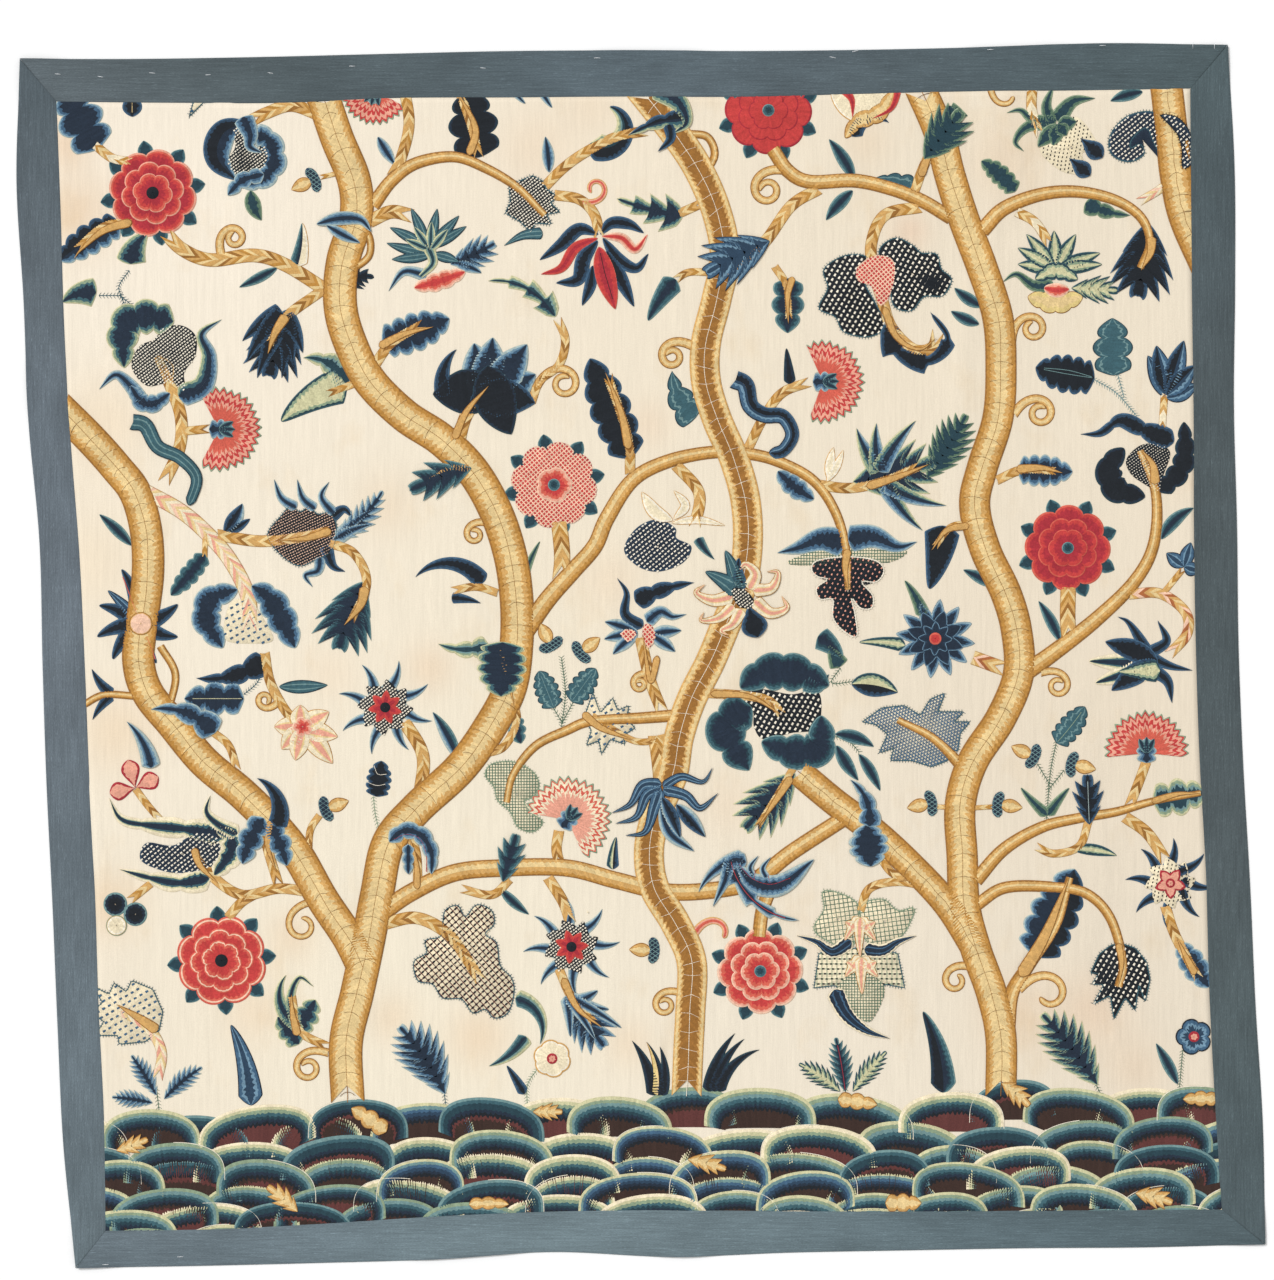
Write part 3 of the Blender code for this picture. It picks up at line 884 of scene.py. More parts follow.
STEMS = (
    # plait, width, points
    ("ochre", 2.2, ((-50.5, 58.5), (-57, 62.5), (-62, 64), (-69, 63.3), (-73.5, 65), (-76.5, 68))),
    ("ochre", 2.0, ((-51.5, 86.5), (-56, 88), (-60, 86.8), (-63, 85.3))),
    ("ochre", 1.8, ((-38, 91), (-37.2, 85), (-38.5, 79.5), (-40, 76.5))),
    ("ochre", 1.6, ((-29, 90), (-27, 84), (-26, 79.5))),
    ("ochre", 2.2, ((-43.5, 69.5), (-40, 71), (-36.5, 70.3))),
    ("ochre", 1.7, ((-15.5, 75), (-12.5, 78), (-9, 80.5), (-4, 83), (1, 84))),
    ("ochre", 1.7, ((-14, 73.7), (-10, 73), (-7.5, 70.5), (-6.7, 66.5))),
    ("ochre", 1.7, ((-51, 58.5), (-57, 54), (-59.7, 49.5))),
    ("ochre", 1.9, ((28.5, 74.7), (24, 72), (20, 66.5), (16, 62.5), (12.5, 60))),
    ("ochre", 1.3, ((21.3, 62.3), (23.2, 59), (23.6, 53.5))),
    ("ochre", 1.2, ((11, 61.3), (7.5, 61.3), (5.3, 60))),
    ("ochre", 1.9, ((44.8, 71.8), (39, 70.5), (36.8, 66), (37.2, 61.5), (38.5, 57), (40, 52.5), (43.5, 49),
     (46.5, 49.3), (47.5, 52))),
    ("ochre", 1.6, ((43.5, 73.8), (45.5, 79), (48.7, 84.5))),
    ("dotted", 1.7, ((62.5, 91), (62.5, 87), (64, 83))),
    ("pale", 1.4, ((86, 85.5), (86.3, 80), (84, 75.5), (79.5, 72.5))),
    ("dotted", 1.6, ((60, 71), (63, 69.3), (65.5, 65.5))),
    ("ochre", 2.0, ((-77.5, 48), (-75.3, 43), (-73.7, 38), (-74, 33), (-76.5, 27.5))),
    ("ochre", 1.4, ((-74, 35.8), (-69, 36.3))),
    ("pale", 2.5, ((-79.5, 26.3), (-74, 23.3), (-70, 20), (-66, 15.5), (-63, 9.5), (-62.7, 3.5))),
    ("ochre", 1.9, ((-68, 19.3), (-61, 18.3), (-54, 19), (-49.5, 20))),
    ("ochre", 1.5, ((-50, 18), (-46, 16.3), (-44, 11.5), (-46.7, 5))),
    ("ochre", 1.7, ((-43, 46), (-40, 50), (-34.5, 53.3))),
    ("ochre", 2.1, ((-29.5, 33), (-28, 38.5), (-24.5, 43.2))),
    ("ochre", 1.1, ((-27.3, 29.7), (-31, 30), (-34.5, 28))),
    ("ochre", 1.7, ((-1.8, 29), (-2.2, 35), (-5.5, 45))),
    ("ochre", 1.4, ((-17.6, 40.5), (-16.2, 44), (-13.2, 46.5), (-12.2, 50.5), (-13.5, 54))),
    ("ochre", 2.6, ((-13.2, 21.5), (-12.7, 16), (-13, 12))),
    ("ochre", 1.6, ((17, 33), (19.5, 38), (22.5, 42), (27, 43.8))),
    ("ochre", 1.7, ((28.3, 27.3), (33.5, 26.8), (39, 28), (45, 30.5))),
    ("ochre", 1.9, ((5.5, 30.5), (9.2, 26), (8.5, 20.5))),
    ("ochre", 2.5, ((68.3, 11), (68.2, 6), (68.5, 2.2))),
    ("pink", 1.7, ((78, 9.8), (83, 9.9), (87, 7), (87.3, 3.5), (84.3, 0))),
    ("ochre", 1.0, ((83.7, 10.2), (86.8, 14))),
    ("dotted", 1.2, ((83.7, 42), (83.3, 36))),
    ("ochre", 1.5, ((56.8, 28), (61, 29.7), (66.8, 29.5))),
    ("ochre", 1.2, ((53, 21), (49.5, 20.5), (46.8, 17.2))),
    ("pink", 2.3, ((53, -0.3), (58.5, -2.3))),
    ("ochre", 1.6, ((-60.3, 0.5), (-59.5, -4), (-57.5, -8), (-55.3, -11))),
    ("ochre", 1.7, ((-71.8, -30.8), (-69, -35), (-64, -38.3), (-58, -37.3), (-52, -38))),
    ("ochre", 1.6, ((-66.2, -42), (-64, -39.5), (-61.5, -38))),
    ("ochre", 1.3, ((-78.5, -36.5), (-82, -39.3))),
    ("ochre", 1.2, ((-81, -21.3), (-79, -24), (-77, -26.3))),
    ("ochre", 1.6, ((-60.8, -26), (-59.8, -31), (-58, -37))),
    ("ochre", 1.2, ((-51.5, -25.5), (-53, -28), (-53.3, -32))),
    ("ochre", 2.1, ((-38, -10.5), (-35, -16), (-35.5, -22.5))),
    ("ochre", 1.5, ((-37.2, -28.5), (-36, -32), (-35.8, -37.7))),
    ("ochre", 1.4, ((-23, 0.8), (-21, -6), (-20, -10.5), (-22, -14.5), (-25, -15.7))),
    ("ochre", 1.1, ((-8, -9.5), (-5, -11.5), (-1, -13.7), (3, -13.6))),
    ("ochre", 1.9, ((-0.2, 3), (1.4, -4), (3.4, -9.2))),
    ("ochre", 1.7, ((-13.2, -28), (-13.6, -31), (-13, -33.7))),
    ("ochre", 1.8, ((-15, -35.5), (-12.5, -39.5), (-11.3, -43))),
    ("ochre", 2.0, ((-41.5, -43), (-36, -42), (-31, -44.5), (-28, -48.5), (-25.5, -52.5))),
    ("ochre", 1.5, ((-13.3, -50), (-11, -55), (-7.3, -59))),
    ("ochre", 2.8, ((2.4, -12.7), (3, -17), (3.4, -21.3))),
    ("ochre", 1.6, ((10.5, -6), (17, -6.5), (20.5, -7.3), (22.7, -9.8))),
    ("ochre", 1.2, ((24.3, -18), (21, -23.5), (18.3, -27.8))),
    ("ochre", 1.3, ((37.5, -31), (40, -34.7), (44, -36.5))),
    ("ochre", 1.4, ((35, -41), (36.5, -37.3), (41, -36.2), (46, -37))),
    ("ochre", 1.6, ((80.8, -17), (79.5, -20.5), (78, -24.3))),
    ("ochre", 1.9, ((77.3, -25.8), (81, -28.5), (84, -33))),
    ("ochre", 1.7, ((83.8, -40), (85.5, -45), (89.3, -52))),
    ("ochre", 1.3, ((71.5, -26.5), (70, -30.5), (66, -31.7), (63, -30.5))),
    ("ochre", 1.4, ((-21, -35.8), (-24, -38.3), (-29, -37.3))),
    ("ochre", 1.4, ((-56, -54.5), (-54.7, -60), (-50, -62.7))),
    ("pale", 1.7, ((-83.5, -56.8), (-79, -59.5), (-76.8, -63.5), (-77.5, -68))),
    ("ochre", 1.4, ((-81.5, 69.3), (-86, 68.7), (-90.7, 64.7))),
    ("dotted", 1.5, ((-87.5, 81.7), (-84.5, 79.5), (-81, 79))),
    ("ochre", 1.5, ((6, 70.7), (10, 72.5))),
    ("ochre", 1.3, ((-45.5, 43.7), (-50.5, 41.8))),
    ("ochre", 0.8, ((-48, 77.3), (-51.5, 76.5))),
    ("ochre", 0.8, ((49.5, -24.3), (46.5, -24.2))),
    ("ochre", 0.8, ((53, -24.4), (56.5, -24.2))),
    ("ochre", 1.3, ((-23, 10), (-26.5, 11), (-30.5, 10.3))),
    ("ochre", 1.3, ((-68.5, -12.3), (-66, -14.5), (-64.7, -18.5))),
    ("ochre", 0.9, ((-69.8, 19.5), (-69.9, 15.5))),
)

TENDRILS = (
    # x, y, heading, length, turn, width, bands
    (-67.2, 64.0, 105, 13.0, -470, 1.5, "curl"),
    (23.5, 77.6, 172, 17.0, 470, 1.6, "curl"),
    (-9.6, 72.6, -8, 9.5, 330, 1.1, "blush curl"),
    (59.2, 50.0, 85, 15.0, -450, 1.5, "curl"),
    (8.3, 49.5, 155, 14.0, 470, 1.6, "curl"),
    (-17.0, 42.6, 62, 17.5, -470, 1.5, "curl"),
    (-24.8, 21.3, 175, 9.5, 420, 1.3, "curl"),
    (59.5, 38.5, 55, 16.0, -470, 1.6, "curl"),
    (63.8, -2.8, 15, 12.5, -440, 1.3, "curl"),
    (-57.8, -6.9, 235, 8.5, -400, 1.3, "curl"),
    (-52.5, -39.3, 195, 14.0, 360, 1.3, "curl"),
    (1.2, -2.9, 178, 8.0, 440, 1.3, "curl"),
    (8.4, -44.6, 55, 8.0, -190, 1.4, "blush curl"),
    (6.4, -54.0, 165, 12.0, 450, 1.3, "curl"),
    (-50.0, -63.6, 165, 15.0, 450, 1.4, "curl"),
    (52.8, -49.8, 170, 11.0, 360, 1.4, "curl"),
    (60.3, -53.5, 45, 14.5, -300, 1.6, "curl"),
    (55.8, 91.0, -80, 6.0, 170, 1.2, "curl"),
)

LEAVES = (
    # form, x and y of the base, heading, length, width, bend, bands, level, midrib thread
    ("oak", -87.0, 81.0, 118, 11.0, 8.0, -10, "blue", 0.3, None),
    ("drop", -81.5, 91.0, 270, 4.8, 3.2, 0, "night", 0.3, "wheat"),
    ("oak5", -83.5, 69.2, 212, 11.5, 5.4, 14, "blue/night", 0.3, None),
    ("blade", -55.0, 62.3, 84, 7.0, 2.8, 22, "teal/cream", 0.3, None),
    ("leaf", -58.3, 62.0, 207, 6.8, 1.7, -6, "teal", 0.3, None),
    ("blade", -81.7, 62.6, 62, 5.8, 4.8, -52, "green", 0.3, None),
    ("blade", -87.2, 58.0, 195, 5.8, 4.6, 50, "green", 0.3, None),
    ("leaf", -62.5, 74.4, 290, 5.2, 2.6, 40, "fern", 0.4, None),
    ("acanthus", -56.8, 55.3, 255, 11.0, 9.5, 0, "night", 0.3, None),
    ("leaf", -42.2, 83.0, 302, 5.4, 1.9, 8, "blue", 0.3, None),
    ("oak", -26.0, 79.7, 98, 11.0, 8.2, -8, "ink", 0.3, None),
    ("blade", -16.0, 90.6, 300, 3.4, 1.6, 20, "blue", 0.3, None),
    ("blade", -20.5, 90.6, 310, 3.0, 1.4, 20, "blue", 0.3, None),
    ("blade", -8.2, 82.0, 62, 12.0, 4.4, 205, "pale/night", 0.3, None),
    ("leaf", -14.8, 77.3, 96, 5.8, 2.0, 12, "blue", 0.3, None),
    ("comb", -47.0, 59.6, 12, 4.5, 5.0, -60, "ink", 0.3, None),
    ("oak5", -41.5, 50.0, 20, 11.5, 6.6, 6, "blue", 0.3, None),
    ("comb", -13.8, 54.2, 152, 13.0, 4.6, 70, "green/pale", 0.4, None),
    ("comb", 6.6, 70.3, 165, 11.0, 6.8, -14, "green", 0.4, None),
    ("acanthus", 20.5, 66.3, 207, 11.5, 8.8, 10, "steel", 2.4, None),
    ("oak", 23.5, 60.4, 269, 8.8, 5.4, 0, "teal", 0.4, None),
    ("blade", 5.5, 60.2, 236, 8.0, 3.6, 16, "teal", 0.4, None),
    ("leaf", 34.0, 76.2, 122, 7.6, 2.2, 18, "teal", 0.3, None),
    ("leaf", 33.8, 74.4, 228, 6.4, 2.2, 16, "teal", 0.3, None),
    ("wave", 43.2, 75.0, 168, 6.2, 3.6, 30, "sea", 0.3, None),
    ("horn", 34.0, 83.0, 22, 7.4, 2.8, -125, "night", 0.5, None),
    ("acanthus", 45.2, 79.4, 52, 9.6, 7.6, 0, "fern", 2.5, None),
    ("oak5", 59.8, 74.2, 138, 7.4, 3.6, 22, "fern", 0.3, None),
    ("leaf", 80.2, 90.2, 196, 5.4, 2.0, 18, "teal", 0.3, None),
    ("wave", 71.0, 72.4, 345, 7.6, 3.4, 26, "fern", 0.3, None),
    ("acanthus", 81.0, 69.3, 262, 12.0, 10.5, -8, "night", 0.4, None),
    ("oak", 75.5, 44.8, 91, 9.2, 6.6, 0, "sea", 0.3, None),
    ("oak5", 72.5, 44.4, 170, 9.6, 6.4, -6, "night", 0.3, "mist"),
    ("leaf", 54.0, 53.0, 155, 5.0, 1.9, -20, "teal", 0.3, None),
    ("leaf", 54.5, 55.8, 146, 5.4, 2.0, -20, "teal", 0.3, None),
    ("leaf", -66.8, 19.6, 58, 5.6, 2.6, 26, "night/crown", 0.3, None),
    ("leaf", -66.6, 19.6, 30, 4.6, 1.6, 16, "night", 0.35, None),
    ("oak5", -69.8, 16.2, 230, 8.6, 3.4, -8, "teal", 0.3, None),
    ("leaf", -81.6, 17.6, 136, 7.2, 1.9, 10, "teal", 0.3, None),
    ("blade", -47.2, 43.5, 210, 12.2, 5.8, 30, "lime", 0.3, None),
    ("wave", -47.0, 43.5, 150, 8.8, 5.4, 70, "pale", 0.25, None),
    ("tooth", -27.2, 30.0, 200, 10.6, 6.4, 12, "teal", 2.3, None),
    ("blade", -18.7, 12.8, 66, 6.0, 1.4, -12, "fern", 0.3, None),
    ("horn", -25.4, 11.6, 175, 12.5, 3.0, 105, "night", 0.4, None),
    ("horn", -30.4, 9.2, 350, 4.8, 1.8, -20, "night", 0.4, None),
    ("acanthus", -44.5, 11.8, 250, 11.5, 10.0, 12, "teal", 0.4, None),
    ("oak5", -1.8, 31.6, 112, 17.2, 7.0, 0, "night", 0.4, None),
    ("wave", 8.8, 38.2, 118, 8.6, 6.0, -50, "sea", 0.2, None),
    ("blade", 23.8, 43.4, 96, 5.8, 1.9, 0, "ink", 0.3, None),
    ("leaf", 30.0, 28.0, 82, 5.4, 1.7, -16, "cream", 0.3, None),
    ("leaf", 29.6, 27.8, 62, 5.8, 1.5, 20, "cream", 0.3, None),
    ("cloud", 27.6, 25.0, 142, 7.4, 3.6, -22, "blue", 0.2, None),
    ("acanthus", 33.8, 27.8, 14, 13.5, 9.6, 14, "green", 0.4, None),
    ("fern", 45.6, 28.4, 58, 12.0, 7.0, 10, "fern", 0.4, None),
    ("blade", 48.2, 20.8, 258, 10.4, 5.6, -16, "night", 0.3, None),
    ("blade", 45.2, 6.2, 118, 6.6, 2.3, 20, "fern", 0.3, None),
    ("blade", 42.2, 1.6, 176, 7.4, 2.2, 18, "lime", 0.3, None),
    ("blade", 28.2, 3.0, 318, 5.4, 3.8, -30, "teal", 0.3, None),
    ("horn", 9.0, 18.8, 308, 4.4, 1.8, 24, "teal", 0.5, None),
    ("wave", -1.0, 8.6, 18, 10.0, 3.6, -22, "night", 0.3, None),
    ("leaf", 56.6, 11.0, 152, 5.8, 1.9, 10, "teal", 0.3, None),
    ("leaf", 67.0, 2.2, 118, 7.4, 1.9, 16, "teal", 0.3, None),
    ("leaf", 83.2, 18.6, 44, 7.4, 2.2, -44, "teal", 0.3, None),
    ("oak5", 60.2, 29.7, 358, 8.8, 5.4, 0, "blue", 0.4, None),
    ("horn", -84.8, -6.2, 128, 5.2, 2.0, -30, "night", 0.5, None),
    ("horn", -84.8, -6.4, 232, 5.0, 1.8, 26, "night", 0.5, None),
    ("wave", -68.2, -12.4, 160, 11.5, 4.8, 60, "blue", 2.4, None),
    ("horn", -78.4, -18.0, 118, 8.6, 3.0, 40, "crown", 2.3, None),
    ("wave", -60.0, -0.6, 195, 12.0, 4.4, -46, "night", 0.3, None),
    ("oak", -63.6, -6.9, 180, 9.6, 5.8, 0, "blue", 0.3, "straw"),
    ("leaf", -58.0, -5.0, 2, 7.8, 2.2, 8, "sea", 0.3, None),
    ("horn", -58.4, -27.4, 112, 9.4, 3.2, 95, "night", 2.4, None),
    ("oak", -60.4, -26.0, 245, 8.2, 4.4, 26, "blue", 2.2, None),
    ("oak", -59.4, -27.0, 292, 7.2, 4.0, -18, "blue", 2.2, None),
    ("leaf", -29.3, -16.8, 118, 8.8, 2.2, 16, "crown/teal", 0.3, None),
    ("oak5", -42.4, -22.6, 82, 5.8, 4.2, 0, "night", 0.3, None),
    ("tooth", -22.2, -36.2, 74, 8.0, 4.8, 0, "teal", 2.6, None),
    ("leaf", -22.6, -37.3, 318, 6.2, 1.7, 14, "teal", 0.3, None),
    ("oak5", -22.2, 2.2, 268, 8.8, 8.2, 0, "green", 2.4, None),
    ("wave", -24.4, 1.6, 178, 8.4, 3.8, -44, "pale", 0.4, None),
    ("oak", -20.2, -9.8, 282, 4.4, 3.0, 14, "teal", 0.3, None),
    ("oak5", -14.0, -8.4, 112, 6.4, 4.2, 0, "sea", 0.3, "mist"),
    ("oak5", -11.2, -7.4, 54, 6.6, 4.2, 0, "sea", 0.3, "mist"),
    ("blade", -4.6, -34.2, 84, 5.2, 2.0, -14, "lime/night", 0.3, None),
    ("blade", 31.8, -1.8, 118, 3.8, 3.2, 0, "fern", 0.3, None),
    ("leaf", 33.6, -4.6, 350, 7.6, 3.8, -30, "lime/night", 0.3, None),
    ("leaf", 31.0, -12.6, 342, 6.6, 2.2, -36, "teal", 0.3, None),
    ("leaf", 31.2, -14.4, 302, 6.6, 2.2, 14, "teal", 0.3, None),
    ("leaf", 34.8, -15.8, 300, 6.8, 1.9, -16, "teal", 0.3, None),
    ("acanthus", 24.6, -18.8, 228, 12.2, 8.6, 0, "green", 0.3, None),
    ("wave", 36.4, -27.4, 112, 8.6, 3.8, 66, "blue", 2.4, None),
    ("cloud", 36.0, -27.0, 276, 6.8, 6.6, 0, "crown", 2.2, None),
    ("comb", 14.2, -32.4, 318, 16.0, 4.2, 76, "crown", 2.4, "red"),
    ("horn", 16.4, -32.2, 218, 9.6, 2.6, 56, "blue", 2.4, None),
    ("oak5", 66.4, -14.0, 52, 7.4, 4.2, 10, "sea", 0.3, "sage"),
    ("blade", 65.0, -25.6, 134, 6.2, 1.9, -12, "fern", 0.3, None),
    ("blade", 65.0, -25.6, 52, 5.6, 1.9, -10, "fern", 0.3, None),
    ("oak", 81.8, -23.4, 10, 8.8, 6.2, 0, "pale", 0.3, None),
    ("tooth", 71.6, -27.0, 92, 8.0, 5.2, 0, "night", 2.3, "haze"),
    ("leaf", 68.8, -31.0, 352, 7.4, 1.9, -26, "lime", 0.3, None),
    ("oak5", 63.0, -48.2, 66, 15.4, 8.4, 0, "blue/night", 0.3, None),
    ("blade", -62.5, -72.0, 104, 13.4, 3.9, 26, "steel", 0.3, None),
    ("horn", -54.6, -59.0, 106, 9.6, 3.0, -110, "green", 0.4, None),
    ("oak", -54.8, -60.0, 62, 5.6, 4.4, 0, "green", 0.3, None),
    ("oak", -54.8, -62.2, 128, 5.6, 4.0, 0, "green", 0.3, None),
    ("fern", -31.4, -70.2, 124, 13.2, 8.4, 18, "crown", 0.3, None),
    ("blade", -18.7, -70.2, 122, 5.4, 1.8, 6, "night", 0.3, None),
    ("horn", -20.2, -54.8, 298, 9.8, 2.8, -110, "pale/teal", 0.4, None),
    ("horn", -18.4, -61.0, 218, 7.8, 2.6, -40, "pale/teal", 0.45, None),
    ("acanthus", -11.8, -54.6, 306, 10.0, 7.4, 0, "blue", 0.3, None),
    ("blade", 48.3, -70.0, 104, 13.6, 4.0, 32, "ink/teal", 0.3, None),
    ("fern", 73.0, -68.8, 128, 14.6, 8.2, 12, "green", 0.3, None),
    ("leaf", 85.8, -68.6, 118, 7.4, 1.9, 8, "teal", 0.3, None),
    ("horn", 2.0, -70.4, 112, 9.6, 2.4, 34, "ink", 0.3, None),
    ("horn", 2.6, -70.4, 102, 9.0, 2.2, 44, "lemon/ink", 0.35, None),
    ("horn", 3.2, -70.4, 92, 8.0, 2.0, 40, "ink", 0.4, None),
    ("horn", 10.8, -69.8, 66, 10.4, 2.3, -36, "ink", 0.3, None),
    ("horn", 11.6, -69.8, 60, 10.0, 2.1, -44, "ink", 0.35, None),
    ("horn", 12.4, -69.8, 46, 9.8, 2.1, -62, "ink", 0.4, None),
    ("fern", -77.6, -70.4, 122, 7.6, 3.6, 8, "blue", 0.3, None),
    ("fern", -76.4, -71.0, 40, 8.0, 3.6, -18, "blue", 0.3, None),
    ("fern", -78.2, -71.6, 172, 6.6, 3.2, 10, "blue", 0.3, None),
    ("fern", 32.6, -69.8, 100, 8.8, 4.0, 8, "teal", 0.3, "crimson"),
    ("fern", 31.8, -69.8, 146, 8.0, 3.6, 16, "lime", 0.3, None),
    ("fern", 33.8, -69.8, 50, 8.4, 3.6, -10, "lime", 0.3, None),
    ("cloud", 86.0, -46.0, 304, 8.6, 4.6, 0, "blue", 0.3, None),
    # small ochre leaves on the hillocks
    ("tooth", -84.0, -79.2, 20, 5.4, 3.2, 10, "nut", 1.9, None),
    ("tooth", -55.0, -89.0, 140, 6.4, 3.6, 10, "nut", 1.9, None),
    ("oak", -40.8, -76.2, 146, 6.8, 3.2, 10, "nut", 1.9, None),
    ("tooth", -17.4, -73.0, 0, 4.8, 3.0, 0, "nut", 1.9, None),
    ("oak", -27.6, -87.8, 0, 6.4, 2.2, -14, "nut", 1.9, None),
    ("oak", 31.4, -71.0, 352, 6.4, 2.8, -6, "nut", 1.9, None),
    ("tooth", 7.4, -80.6, 345, 6.4, 3.4, -14, "nut", 1.9, None),
    ("oak", 39.0, -87.6, 0, 5.8, 3.2, 0, "nut", 1.9, None),
    ("tooth", 57.6, -68.4, 320, 5.8, 3.6, -20, "nut", 1.9, None),
    ("oak", 92.2, -71.0, 180, 5.6, 2.6, 10, "nut", 1.9, None),
    ("tooth", 79.0, -86.0, 345, 6.2, 3.8, -14, "nut", 1.9, None),
)

